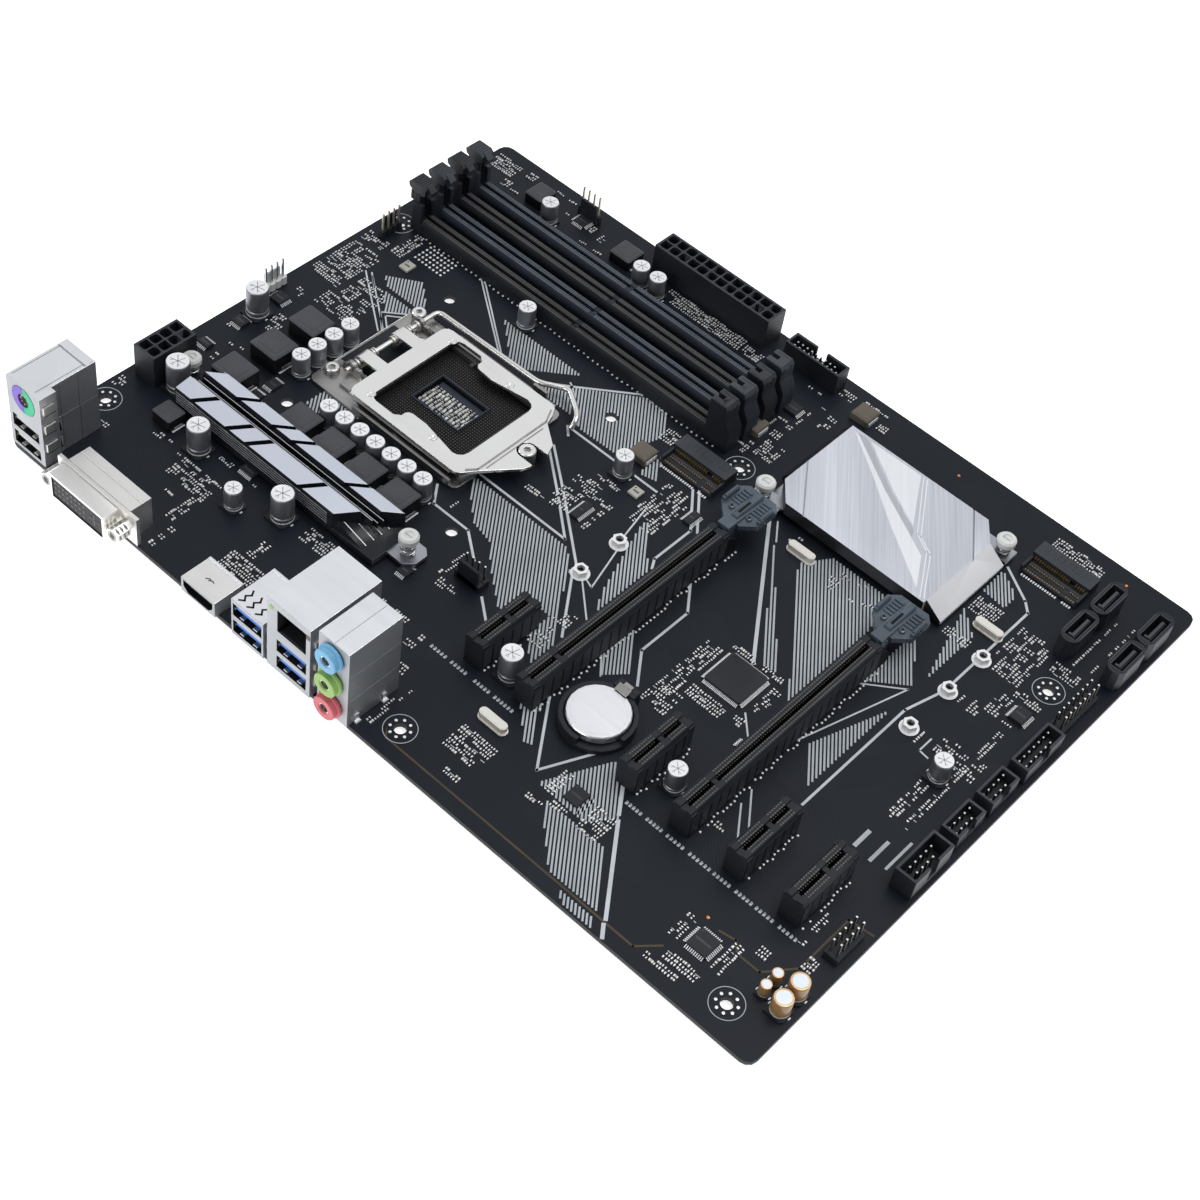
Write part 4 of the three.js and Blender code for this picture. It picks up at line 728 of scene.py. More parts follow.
# Regions of small parts: x range, y range and how full they are, from 0 to 1.
CLUSTERS = [
    (-150, -137, 100, 109, 0.75), (-139, -135, 95, 100, 0.5), (-134, -129, 95, 97.6, 0.6),
    (-135, -130, 104.5, 108.6, 0.6),
    (-122, -112, 107, 109.6, 0.6), (-102, -98, 100, 105, 0.7), (-112, -109, 101, 104, 0.6),
    (-99, -94, 93.6, 96, 0.8),
    (-92, -87, 93.6, 96, 0.8), (-95, -92, 99, 104, 0.4), (-60, -24, 94, 100.5, 0.85),
    (-24, -15, 94, 99.8, 0.7),
    (-8.5, -4.5, 97, 100.6, 0.7), (3, 9.5, 98.8, 101, 0.8), (-4.5, 0.5, 91.5, 97, 0.7),
    (12, 18, 104, 108.4, 0.7),
    (21, 31, 106.2, 109.4, 0.7), (30.5, 35, 100.5, 105.5, 0.7), (18.8, 21, 97, 100, 0.6),
    (12, 17.5, 94.6, 97, 0.7),
    (16.5, 20.5, 86, 94.5, 0.6), (9.5, 13, 78, 90, 0.6), (5, 9, 79.5, 83, 0.6), (4.8, 6.6, 75, 81.5, 0.6),
    (8, 12, 71, 75.5, 0.7),
    (9.5, 17.5, 60.5, 70, 0.65), (0, 8.5, 57.8, 65.6, 0.8), (-16, -10, 42, 48.5, 0.7),
    (-18, -6, 13.4, 19, 0.75), (-22, -12, 8, 12, 0.6),
    (0, 12, 8, 30, 0.5), (-22, -3, -6.4, 8, 0.62), (-30, -21, -7.4, -4, 0.6), (-23.4, -20, -53, -41, 0.55),
    (-21, -13, -57, -52, 0.5),
    (-150, -140, 36.5, 42, 0.6), (-138, -132, 39, 53, 0.6), (-150, -135, 12, 35, 0.62),
    (-134, -120, 10, 23, 0.5),
    (-137, -120, 1.6, 10, 0.5), (-145, -140, -12.5, 3.5, 0.4), (-139.5, -132.6, -20, -10, 0.5),
    (-147, -139.6, -28.6, -22, 0.6),
    (-140, -132.6, -34, -30.6, 0.5), (-147, -136, -43, -36, 0.55), (-151, -147, -74, -68, 0.5),
    (-117, -107, -79.4, -77, 0.6),
    (-110, -91, -87, -77.6, 0.55), (-104, -97, -92.4, -90.2, 0.7), (-96, -92, -99, -84, 0.6),
    (-91, -88, -110, -99, 0.6),
    (-140, -136, -90, -85.4, 0.4), (-105, -84, -71, -67.6, 0.4), (-62, -50, -75, -67.4, 0.6),
    (-68, -63, -91, -82, 0.55),
    (-71, -55, -100, -92, 0.7), (-29, -15, -76, -72, 0.4), (-11, -6, -80, -72.4, 0.6),
    (-8, -2, -89, -84, 0.5), (2, 5, -108, -90, 0.5),
    (23, 38, -98, -87.6, 0.62), (30, 37, -105, -101.4, 0.6), (51, 58, -36, -9, 0.62),
    (59, 73, -32, -26.6, 0.85), (75.4, 80, -30, -26, 0.8),
    (76.6, 80.5, -22, -10, 0.6), (58, 78, -8, -4.4, 0.7), (51, 62, -46, -33, 0.5),
    (54, 58.6, -88, -77.6, 0.6), (59, 66, -91, -88, 0.7),
    (69, 77, -91, -80, 0.55), (52, 58, -94, -90.6, 0.6), (110, 114.4, -98, -88, 0.75),
    (125.2, 129.6, -98, -86, 0.7),
    (114, 127, -105, -100.6, 0.8), (110, 123, -108.6, -105.8, 0.8), (131, 135, -85.6, -81.6, 0.8),
    (142.6, 148, -80, -74, 0.85),
    (137, 140.4, -74, -60, 0.4), (128, 133, -22, -4.4, 0.5), (134, 137.4, -21.6, 10, 0.7),
    (124, 140, 5.4, 14.6, 0.4), (134, 137.4, 14, 30, 0.6),
    (122, 126, 26.6, 34, 0.6), (117, 120, 27, 32, 0.7), (118, 120.4, 5, 11, 0.7), (125.6, 131, 31, 41, 0.6),
    (132.4, 138, 31, 33.8, 0.9),
    (129, 140, 40.6, 46.4, 0.65), (115.6, 129, 45.6, 68, 0.6), (131, 141, 58.6, 65, 0.6),
    (98.6, 110, 60, 68.6, 0.8), (98.6, 109, 46, 50, 0.6),
    (135, 137.6, 66, 98, 0.55), (140.6, 143, 64, 97, 0.5), (102, 122, 101.2, 107.8, 0.8),
    (61, 80, 33, 44, 0.12), (42, 46, 38, 44, 0.4),
    (-40, -38, -31, -26, 0.4), (13, 20, -52, -42, 0.3), (-127, -117, -79, -76, 0.3),
    (13, 19, -40.4, -33, 0.3), (96, 100, -62, -59, 0.5),
]
CELL_X, CELL_Y = 1.95, 1.3
KEPT_CLEAR = []


def keep_clear(x0, x1, y0, y1, gap=0.5):
    KEPT_CLEAR.append((x0 - gap, x1 + gap, y0 - gap, y1 + gap))


def free(x, y, dx, dy):
    return all(x + dx < a or x - dx > b or y + dy < c or y - dy > d for a, b, c, d in KEPT_CLEAR)


def small_parts():
    """Surface-mount resistors, capacitors and bare pads, on a fine grid in each region."""
    overhead = {"pcb", "socket_backplate", "load_plate", "load_lever"}
    for name in frame["nodes"]:
        if name not in overhead and not name.startswith(("dimm_latch", "pcie_x16_latch")):
            x, y, _ = at(name)
            keep_clear(*x, *y)
    parts = Shape()
    kinds = [("epoxy", 0.36), ("tan", 0.5), ("pale_ceramic", 0.45), ("pads", 0.1), ("print", 0.05)]
    for x0, x1, y0, y1, fill in CLUSTERS:
        tall = (y1 - y0) > 1.6 * (x1 - x0)
        order = -1 if tall else 1
        px, py = (CELL_X, CELL_Y)[::order]
        for i in range(max(1, int((x1 - x0) / px))):
            for j in range(max(1, int((y1 - y0) / py))):
                keep = RNG.random() < fill + 0.14
                look, height = RNG.choices(kinds, (5, 2.0, 1.4, 3.0, 1.4))[0]
                size = RNG.choice((0.9, 1.0, 1.12))
                if not keep:
                    continue
                x, y = x0 + (i + RNG.uniform(0.42, 0.58)) * px, y0 + (j + RNG.uniform(0.42, 0.58)) * py
                long, short, end = 0.72 * size, 0.34 * size, 0.42 * size
                dx, dy = (long, short)[::order]
                if not free(x, y, dx, dy):
                    continue
                if look == "print":
                    parts.strip([(x - dx, y - dy), (x + dx, y - dy)], 0.26, INK, "silk")
                    continue
                along, across = (x, y)[::order]
                low, high = span(along, long)
                for run in ((low, low + end), (high - end, high)):
                    parts.box(*(run, span(across, short))[::order], (0.0, height * size), "solder", 0.05)
                if look != "pads":
                    core = ((low + end, high - end), span(across, short * 0.96))[::order]
                    parts.box(*core, (0.03, height * size - 0.02), look)
    parts.made("surface_parts", "solder_silver")


def solder_dots():
    """Bright solder points on the top face: rings round the screw holes, and rows beside the slots."""
    dots = Shape()

    def dot(x, y, r=0.42, h=0.22):
        dots.turned((x, y), [(r, 0.0), (r * 0.8, h * 0.7), (0, h)], "solder", 8)

    for x, y in SCREW_HOLES:
        for i in range(8):
            a = math.pi * (i + 0.5) / 4
            dots.turned((x + 3.2 * math.cos(a), y + 3.2 * math.sin(a)),
                [(0.5, 0.0), (0.5, PAD_RISE + 0.05), (0, PAD_RISE + 0.12)], "solder", 8)
    for x in steps_between(-134, -1, 2.2):
        dot(x, 52.6 + (0.4 if RNG.random() < 0.5 else 0.0), 0.42)
    for i in range(8):
        for j in range(5):
            dot(-130 + i * 1.75, 43.6 + j * 1.9, 0.5)
    for name in CARD_SLOTS:
        x, y, _ = at(name)
        for v in steps_between(y[0] + 1, y[1] - 1, 1.7):
            if RNG.random() < 0.85:
                dot(x[1] + 0.35 + (0.7 if RNG.random() < 0.4 else 0.0), v, 0.42, 0.35)
    for x, y in ((115, -86), (63, 105), (129, 107), (130, 8), (132, 5), (134, 3), (-90, -63), (-82, -60)):
        dots.turned((x, y), [(0.55, 0.0), (0.5, 0.1), (0, 0.12)], "copper", 10)
    dots.made("solder_points", "solder_silver")


# ---- Round parts, coils and chips --------------------------------------------
CAPS = (
    [(-90.8 + 7.05 * i, -34.6, 3.15, 8.9) for i in range(7)]
    + [(-113.8, y, 3.15, 8.9) for y in (-25.3, -18.1, -10.7, -3.4)]
    + [(x, y, 3.15, 8.9) for x,
        y in ((-112.9, 93.3), (-69.2, 93.1), (-61.6, 93.1), (-81, 47.7), (-12.7, 20.9), (79.5, -59.7),
        (131.3, 0))]
    + [(-134.6, -59.4, 4, 12.2), (-144.3, -16.7, 3.9, 11.8), (-109.7, -72.7, 3.8, 11.4),
        (-71, -72.8, 3.8, 11.4), (19.5, -65.6, 3.6, 11.2)]
    + [(-84.5, -80.8, 3, 8.7)]
)
AUDIO_CAPS = [(147.3, -87.1, 3, 7.2), (147.3, -94.3, 3, 7.2), (140.9, -88.4, 1.75, 5.2),
    (140.9, -93.4, 1.75, 5.2)]


def capacitor(cans, bases, x, y, r, h, sleeve="can"):
    """An aluminium can: rolled groove, lid with six pressed lines, dark base with cut corners."""
    keep_clear(*span(x, r + 0.4), *span(y, r + 0.4))
    c = r + 0.25
    foot = [(x - c, y - c), (x + c - 1, y - c), (x + c, y - c + 1),
            (x + c, y + c - 1), (x + c - 1, y + c), (x - c, y + c)]
    bases.prism(foot, (0, 0.8), "black")
    bases.turned((x, y), [(r * 0.98, 0.8), (r * 1.02, 1.2), (r * 0.9, 1.5)], "ivory", 24)
    wall = [(r * 0.94, 1.2), (r, 1.6), (r, h * 0.24), (r * 0.93, h * 0.27), (r * 0.93, h * 0.3),
            (r, h * 0.33), (r, h - 0.5), (r * 0.97, h - 0.2), (r * 0.9, h)]
    cans.turned((x, y), wall, sleeve, 28)
    lid = [(r * 0.94, h - 0.4), (r * 0.93, h + 0.1), (r * 0.86, h + 0.12), (r * 0.82, h + 0.03),
        (0, h + 0.03)]
    if sleeve == "can":
        cans.turned((x, y), lid, "can_top", 32)
        for k in range(3):
            a = 0.3 + k * math.pi / 3
            dx, dy = math.cos(a) * r * 0.66, math.sin(a) * r * 0.66
            cans.strip([(x - dx, y - dy), (x + dx, y + dy)], r * 0.07, (h, h + 0.07), "sink_tab")
            branch = [(x - dx * 0.9 + dy * 0.3, y - dy * 0.9 - dx * 0.3), (x - dx * 0.5, y - dy * 0.5)]
            cans.strip(branch, r * 0.05, (h, h + 0.06), "sink_tab")
    else:
        cans.turned((x, y), lid, "gold_rim", 32)
        cans.turned((x, y), [(r * 0.76, h), (r * 0.74, h + 0.1), (0, h + 0.11)], "gold_lid", 28)
    for side in (-1, 1):
        bases.block(x + side * c, y, 0.4, 0.5, (0, 0.2), "solder")


def capacitors():
    cans, bases = Shape(), Shape()
    for cap in CAPS:
        capacitor(cans, bases, *cap)
    cans.made("capacitor_cans", "capacitor_can")
    bases.made("capacitor_bases", "black_plastic", bevel=0.05)
    cans, bases = Shape(), Shape()
    for x, y, r, h in AUDIO_CAPS:
        capacitor(cans, bases, x, y, r, h, "gold_sleeve")
    cans.made("audio_capacitor_cans", "gold_sleeve")
    bases.made("audio_capacitor_bases", "black_plastic", bevel=0.05)


# Ferrite coils: middle, width, depth and height.
CHOKES = [
    (-124.8, -10.4, 12.2, 10.4, 7), (-124.8, -27, 12.2, 11, 7), (-124.8, -44.0, 12.2, 10.6, 7),
    (-94.3, -43.6, 11.2, 10.6, 7), (-79.6, -43.6, 11.2, 10.6, 7),
    (-65, -43.6, 11.2, 10.6, 7), (-50.4, -43.6, 11.2, 10.6, 7), (-125.3, -71.4, 8.3, 7.4, 5),
    (-122.6, 99.3, 7.8, 8.8, 4.4), (-80.8, 99.3, 9.2, 8.8, 4.4),
]


def chokes():
    """Square ferrite coils: a pressed block with a domed lid and two soldered straps."""
    shape = Shape()
    for x, y, w, d, h in CHOKES:
        keep_clear(*span(x, w / 2), *span(y, d / 2))
        outline = rounded(span(x, w / 2), span(y, d / 2), 0.8)
        crown = rounded((x - w / 2 + 0.6, x + w / 2 - 0.6), (y - d / 2 + 0.6, y + d / 2 - 0.6), 0.8)
        shape.prism(outline, (0.25, h - 0.5), "ferrite_side")
        shape.prism(outline, (h - 0.5, h), "ferrite", top=crown)
        shape.prism(rounded(span(x, w * 0.32), span(y, d * 0.3), 0.6), (h - 0.05, h + 0.08), "ferrite")
        for side in (-1, 1):
            edge = x + side * w / 2
            shape.block(edge, y, 0.2, d * 0.22, (0, h * 0.25), "tin_dark", 0.1)
            shape.box((edge - 0.8, edge + 0.5), span(y, d * 0.34), (0, 0.15), "solder", 0.05)
    shape.made("power_chokes", "ferrite_grey", bevel=0.12)


# Chips: x range, y range, height, look, and the sides that carry leads.
CHIPS = [
    ((116, 123), (-97, -90), 1.2, "epoxy", "nsew"), ((60, 65.6), (-86, -80), 0.9, "epoxy", ""),
    ((3, 9), (84, 89), 1.3, "epoxy", "ew"),
    ((-107, -102), (100, 105), 1.0, "epoxy", "nsew"), ((-147, -142), (-9, -4), 1.4, "epoxy", "ew"),
    ((-147, -142), (-26, -22), 1.4, "epoxy", "ns"),
    ((-147, -142), (-41, -38), 1.2, "epoxy", "ns"), ((133, 138), (34, 40), 1.5, "epoxy", "ew"),
    ((-12, -9), (-5, 3), 1.2, "epoxy", "ew"),
    ((-95, -89), (-69, -66), 1.2, "epoxy", "ns"), ((-130, -126), (35.4, 40), 1.0, "pale_ceramic", ""),
    ((-6, -2), (16, 20), 1.0, "pale_ceramic", ""),
    ((-117.8, -113.6), (-38, -33.6), 0.9, "epoxy", "ns"),
    ((-117.8, -113.6), (-46, -41.6), 0.9, "epoxy", "ns"), ((14, 17), (20, 26), 1.1, "epoxy", "ew"),
    ((-32, -28), (-62, -58), 1.0, "epoxy", "ns"), ((83, 87), (-36, -32), 1.0, "epoxy", "nsew"),
    ((126, 130), (72, 76), 1.0, "epoxy", "ns"),
]
# Moulded inductors: middle and side. Crystal cans: middle, length and width.
SQUARES = [(25, 102, 7.2), (-13.5, 32, 7.2), (3, 70, 7)]
CRYSTALS = [(28.5, -82, 10.4, 3.0), (49, 37.5, 10.2, 2.9), (109, 57, 10.2, 2.9)]


def leads(shape, x, y, sides, pitch=0.65):
    """Bent leads on the named sides of a chip: a shoulder, a drop and a foot each."""
    for side in sides:
        order = 1 if side in "ns" else -1
        run, across = (x, y)[::order]
        edge, out = (across[1], 1) if side in "ne" else (across[0], -1)
        for t in steps_between(run[0] + 0.5, run[1] - 0.5, pitch):
            for near, far, z in ((-0.1, 0.5, (0.35, 0.55)), (0.4, 0.62, (0.05, 0.5)),
                    (0.5, 1.15, (0.0, 0.18))):
                shape.box(*(span(t, 0.14), beside(edge, out, near, far))[::order], z, "solder")


def chips():
    bodies, pins = Shape(), Shape()
    for x, y, h, look, sides in CHIPS:
        keep_clear(x[0] - 1, x[1] + 1, y[0] - 1, y[1] + 1)
        bodies.box(x, y, (0.08, h), look, 0.12)
        bodies.turned((x[0] + 0.9, y[1] - 0.9), [(0.35, h - 0.02), (0.3, h + 0.02)], "chip_mark", 14)
        bar = (x[0] + 0.8, x[1] - 0.8), (mid(y) - 0.5, mid(y) + 0.3)
        bodies.box(*bar, (h - 0.01, h + 0.015), "chip_mark" if look == "epoxy" else "tan")
        leads(pins, x, y, sides)
    leads(pins, *at("super_io_chip")[:2], "nsew", 0.5)
    bodies.made("chip_bodies", "chip_epoxy", bevel=0.05)
    pins.made("chip_leads", "solder_silver")
    power = Shape()
    for x, y, s in SQUARES:
        keep_clear(x - s / 2 - 0.6, x + s / 2 + 0.6, y - s / 2 - 0.6, y + s / 2 + 0.6)
        power.block(x, y, s / 2, s / 2, (0.05, 3.0), "tan", 0.45)
        power.prism(rounded(span(x, s * 0.36), span(y, s * 0.36), 0.7), (2.9, 3.1), "tan")
        for side in (-1, 1):
            power.block(x + side * s / 2, y, 0.3, s * 0.36, (0, 1.6), "solder", 0.1)
    power.made("power_inductors", "ceramic_tan", bevel=0.1)
    cans = Shape()
    for x, y, long, wide in CRYSTALS:
        a, b = long / 2, wide / 2
        keep_clear(*span(x, a), *span(y, b))
        for grow, z in ((0.35, (0.15, 0.5)), (0.0, (0.5, 2.9))):
            low = rounded((x - a - grow, x + a + grow), (y - b - grow, y + b + grow), b + grow - 0.02, 8)
            cans.prism(low, z, "crystal")
        top = rounded((x - a + 0.4, x + a - 0.4), (y - b + 0.4, y + b - 0.4), b - 0.45, 8)
        cans.prism(top, (2.9, 3.05), "crystal")
    cans.made("crystal_cans", "capacitor_can", bevel=0.15, steps=3)


# Pin headers without a CAD node: middle, pins, direction, base look, base and pin heights.
HEADERS = [
    (-145, 46, 4, "y", "black", 3.2, 10.4), (-150, -4, 4, "y", "white", 3.2, 11.0),
    (-104.5, 106, 4, "x", "black", 3.6, 12.0),
]


def open_headers():
    bases, pins = Shape(), Shape()
    for x, y, columns, along, look, base, tip in HEADERS:
        order = 1 if along == "x" else -1
        long, wide = columns * HEADER_PITCH / 2, HEADER_PITCH / 2
        a, b = (long, wide)[::order]
        keep_clear(*span(x, a), *span(y, b))
        for i in range(columns):
            u = (i - (columns - 1) / 2) * HEADER_PITCH
            px, py = (x + u, y) if along == "x" else (x, y + u)
            c, h = 0.45, 1.22
            cell = [(px - h, py - h + c), (px - h + c, py - h), (px + h - c, py - h), (px + h, py - h + c),
                    (px + h, py + h - c), (px + h - c, py + h), (px - h + c, py + h), (px - h, py + h - c)]
            bases.prism(cell, (0.1, base), look)
            pins.block(px, py, 0.32, 0.32, (PIN_END, tip), "wire_steel" if look == "white" else "pin", 0.2)
        middle, behind, half = (x, y - b, a) if along == "x" else (y, x - a, b)
        wall = (span(middle, half * 0.7), (behind - 0.2, behind + 0.5))[::order]
        bases.box(*wall, (0.1, base + 4.2), look, 0.3)
    bases.made("header_bases", "black_plastic", bevel=0.06)
    pins.made("header_pins", "gold_contact")


# Middles of the hex nuts that hold M.2 cards.
STANDOFFS = [(6.7, -2.2), (6.7, -20.3), (114.3, 46.4), (114.3, 28.5), (114.3, 8.6)]


def standoffs():
    """Threaded hex nuts soldered to the board for M.2 cards, on round solder lands."""
    shape = Shape()
    for x, y in STANDOFFS:
        keep_clear(*span(x, 3.4), *span(y, 3.4))
        shape.ring((x, y), 1.6, 3.2, (0.0, 0.08), "solder", 28)
        for k in range(6):
            a0, a1 = math.radians(60 * k), math.radians(60 * k + 60)
            side = [(2.5, a0), (2.5, a1), (1.3, a1), (1.3, a0)]
            shape.prism([(x + r * math.cos(a), y + r * math.sin(a)) for r, a in side], (0.05, 2.4), "can_top")
        # A near-black plug down the threaded bore: painted shade inside the hole.
        shape.turned((x, y), [(1.32, 0.05), (1.32, 1.2)], "deep", 18)
        for z in steps_between(1.3, 2.3, 0.35):
            shape.ring((x, y), 1.12, 1.36, (z, z + 0.16), "steel", 18)
    shape.made("card_standoffs", "solder_silver", bevel=0.05)


# ---- CAD nodes with their finish and fine detail -----------------------------
def within(spot, box, grow=0.03):
    return all(low - grow <= value <= high + grow for value, (low, high) in zip(spot, box))


def board_face(spot, normal):
    if abs(normal.z) < 0.5:
        return 1
    return 2 if spot.z > PAD_RISE / 2 or spot.z < UNDER - PAD_RISE / 2 else 0


def bare_board():
    refined("pcb", ["mask", "resin", "mask"], bevel=0, pick=board_face, sharp=8)


MEMORY_ROW, MEMORY_KEY, MEMORY_PITCH = (-136.6, -6.6), (-67.4, -64.6), 0.85


def memory_slots():
    for i in range(1, 5):
        name, latch = "dimm_slot_%d" % i, "dimm_latch_%d" % i
        slate = i % 2 == 0
        comb, body, head = ("comb_slate", "slot_slate", "head_slate") if slate else ("comb_black",
            "slot_dark", "head_dark")
        # Painted highlight: top faces high on the slot and its latch take the lighter copy of the plastic, as
        # do the combs and ribs on top.
        refined(name, [body, head], bevel=0.15, pick=lambda s, n: 1 if n.z > 0.7 and s.z > 10 else 0)
        refined(latch, [body, head], bevel=0.2, pick=lambda s, n: 1 if n.z > 0.7 and s.z > 16 else 0)
        y = mid(at(name)[1])
        fine, gold = Shape(), Shape()
        for u in steps_between(*MEMORY_ROW, MEMORY_PITCH):
            if MEMORY_KEY[0] < u < MEMORY_KEY[1]:
                continue
            for side in (-1, 1):
                for near, far in ((0.78, 1.0), (1.32, 1.62), (1.95, 2.3)):
                    fine.box(span(u, 0.27), beside(y, side, near, far), (5.95, 6.12), comb)
                gold.box(span(u, 0.14), beside(y, side, 0.5, 0.76), (3.4, 5.4), "land")
                fine.box(span(u, 0.22), beside(y, side, 3.28, 3.36), (0.8, 4.0), body)
        for u in (-101.5, -36.2):
            fine.box(span(u, 1.4), (y - 3.42, y - 3.28), (0.5, 4.3), body)
        t0, t1 = -5.6, 1.8
        for v in (-2.6, 2.6):
            fine.box((t0 + 0.9, t1 - 0.9), span(y + v, 0.35), (18.75, 19.0), head, 0.1)
        for v in steps_between(10, 17, 1.4):
            for w in span(y, 1.9):
                fine.box((t1 - 0.02, t1 + 0.12), span(w, 0.7), (v, v + 0.6), body)
        fine.made(name + "_comb", SLOT_OF[name])
        gold.made(name + "_contacts", "gold_contact")
        ribs = Shape()
        for u in steps_between(-143.0, -138.0, 1.0):
            ribs.block(u, y, 0.26, 2.6, (20.5, 20.9), head, 0.1)
        for side in (-1, 1):
            ribs.box((-143.3, -138.9), beside(y, side, 1.4, 2.8), (12.8, 16.6), body, 0.15)
            for u in (-142.6, -141.2, -139.8):
                ribs.box(span(u, 0.3), beside(y, side, 2.75, 2.95), (13, 16.3), body)
        ribs.made(latch + "_ribs", SLOT_OF[latch], BODY_OF[latch])


CARD_KEY = (-57.8, -55.0)


def card_slots():
    for name in CARD_SLOTS:
        x, end = mid(at(name)[0]), slot_end(name)
        # Painted shade: faces that look along x below 9 mm, the slot's walls, take the near-black recess
        # look.
        refined(name, ["slot_dark", "deep"], bevel=0.15, pick=lambda s, n: 1
            if abs(n.x) > 0.9 and s.z < 9 else 0)
        fine, gold = Shape(), Shape()
        for v in steps_between(-67.4, end - 3.2, 1.0):
            if CARD_KEY[0] < v < CARD_KEY[1]:
                continue
            for side in (-1, 1):
                for r in (1.0, 2.2):
                    fine.box(beside(x, side, r, r + 0.42), span(v, 0.28), (11.2, 11.36), "comb_black")
                gold.box(beside(x, side, 0.6, 0.96), span(v, 0.2), (6.0, 10.0), "land")
        for v in steps_between(-68.4, end - 2.2, 4.2):
            for side in (-1, 1):
                wall = beside(x, side, 3.7, 3.86)
                fine.box(wall, span(v, 1.75), (1.2, 9.4), "slate")
                fine.box(wall, span(v, 2.1), (9.3, 9.9), "slot_dark")
        fine.made(name + "_ribs", SLOT_OF[name])
        gold.made(name + "_contacts", "gold_contact")
    for name in ("pcie_x16_latch_1", "pcie_x16_latch_2"):
        refined(name, ["latch"], bevel=0.3, steps=3)
        x = mid(at(name)[0])
        grip = Shape()
        for v in steps_between(31, 37, 1.5):
            for side in (-1, 1):
                grip.box(beside(x, side, 2.2, 5.6), span(v, 0.4), (10.55, 11.1), "latch", 0.15)
        grip.box(span(x, 1.3), (25, 38.6), (10.3, 12.0), "latch", 0.35)
        # A near-black strip along the grip: painted shade standing in for a slit.
        grip.box(span(x, 0.5), (27, 33), (11.9, 12.03), "deep")
        for side in (-1, 1):
            grip.box(beside(x, side, 6.3, 7.7), (29, 35), (12.1, 13.0), "latch", 0.4)
            grip.turned((x + side * 3.6, 28.2), [(1.1, 10.5), (1.0, 11.3), (0.5, 11.5), (0, 11.5)], "latch",
                20)
            # A near-black disc on each post: painted shade standing in for its hole.
            grip.turned((x + side * 3.6, 28.2), [(0.5, 11.45), (0.5, 11.54)], "deep", 16)
        grip.made(name + "_grip", SLOT_OF[name], BODY_OF[name])


def power_sockets():
    for name in ("atx_power_connector", "cpu_power_connector"):
        # Painted highlight: top faces above 12 mm take the lighter slate look.
        refined(name, ["black", "slate"], bevel=0, pick=lambda s, n: 1 if n.z > 0.7 and s.z > 12 else 0)
    pins, wells = Shape(), Shape()
    r = 1.825
    for k, (x, y) in enumerate(POWER_SPOTS):
        # Pins down in the wells take the dimmer gold as painted shade.
        pins.block(x, y, 0.6, 0.6, (PIN_END, 9.6), "copper_dim", 0.3)
        for sx, sy in ((-1, -1), (1, -1), (1, 1), (-1, 1)):
            if k % 3 == 0 and sy > 0:
                continue
            cx, cy = x + sx * r, y + sy * r
            corner = [(cx, cy), (cx - sx * 0.9, cy), (cx, cy - sy * 0.9)]
            wells.prism(corner if sx * sy > 0 else corner[::-1], (2.4, 12.72), "black")
    pins.made("power_pins", "gold_contact")
    wells.made("power_well_corners", "black_plastic")


def sink_face(spot, normal):
    if spot.x > -42.5:
        return 2
    if normal.z > 0.6 and spot.z > 9.4:
        return 1
    return 0


def voltage_sink():
    refined("vrm_heatsink", ["sink_black", "facet", "sink_tab"], bevel=0.12, pick=sink_face)
    lines = Shape()
    for y, z in ((-58.9, 9.3), (-57.6, 8.2), (-56.3, 9.3)):
        start, end = (y + 60) / 1.13 - 129, (y + 60) / 1.13 - 47
        lines.box((start, end), span(y, 0.14), (5.5, z - 0.15), "sink_black")
        lines.box((start, end), span(y, 0.11), (z - 0.16, z), "sink_edge")
    for z in (3.9, 5.0, 6.1, 7.2, 8.3):
        lines.box((-127.6, -58), (-66.62, -66.45), (z, z + 0.3), "sink_edge")
        lines.box((-124, -56), (-49.45, -49.3), (z, z + 0.3), "sink_edge")
    for k in range(4):
        y = -63.6 + k * 3.4
        x0, x1 = -56.0, -43.6
        rise = [8 - 5 / 17 * (x + 60) for x in (x0, x1)]
        lines.prism([(x0, rise[0] - 0.1), (x1, rise[1] - 0.1), (x1, rise[1] + 0.1), (x0, rise[0] + 0.1)],
                    span(y, 0.14), "sink_edge", "y")
    lines.made("vrm_heatsink_lines", "heatsink_aluminium")


# Painted light on the chipset cap: high top faces brushed, end faces looking to +x the near-white lit copy,
# lower flat faces tab metal, all other faces the dark shaded copy.
def chipset_face(spot, normal):
    if normal.z > 0.9 and spot.z > 7:
        return 1
    if spot.x > at("chipset_heatsink")[0][1] - 7.5 and normal.x > 0.2:
        return 3
    if normal.z > 0.9:
        return 2
    return 0


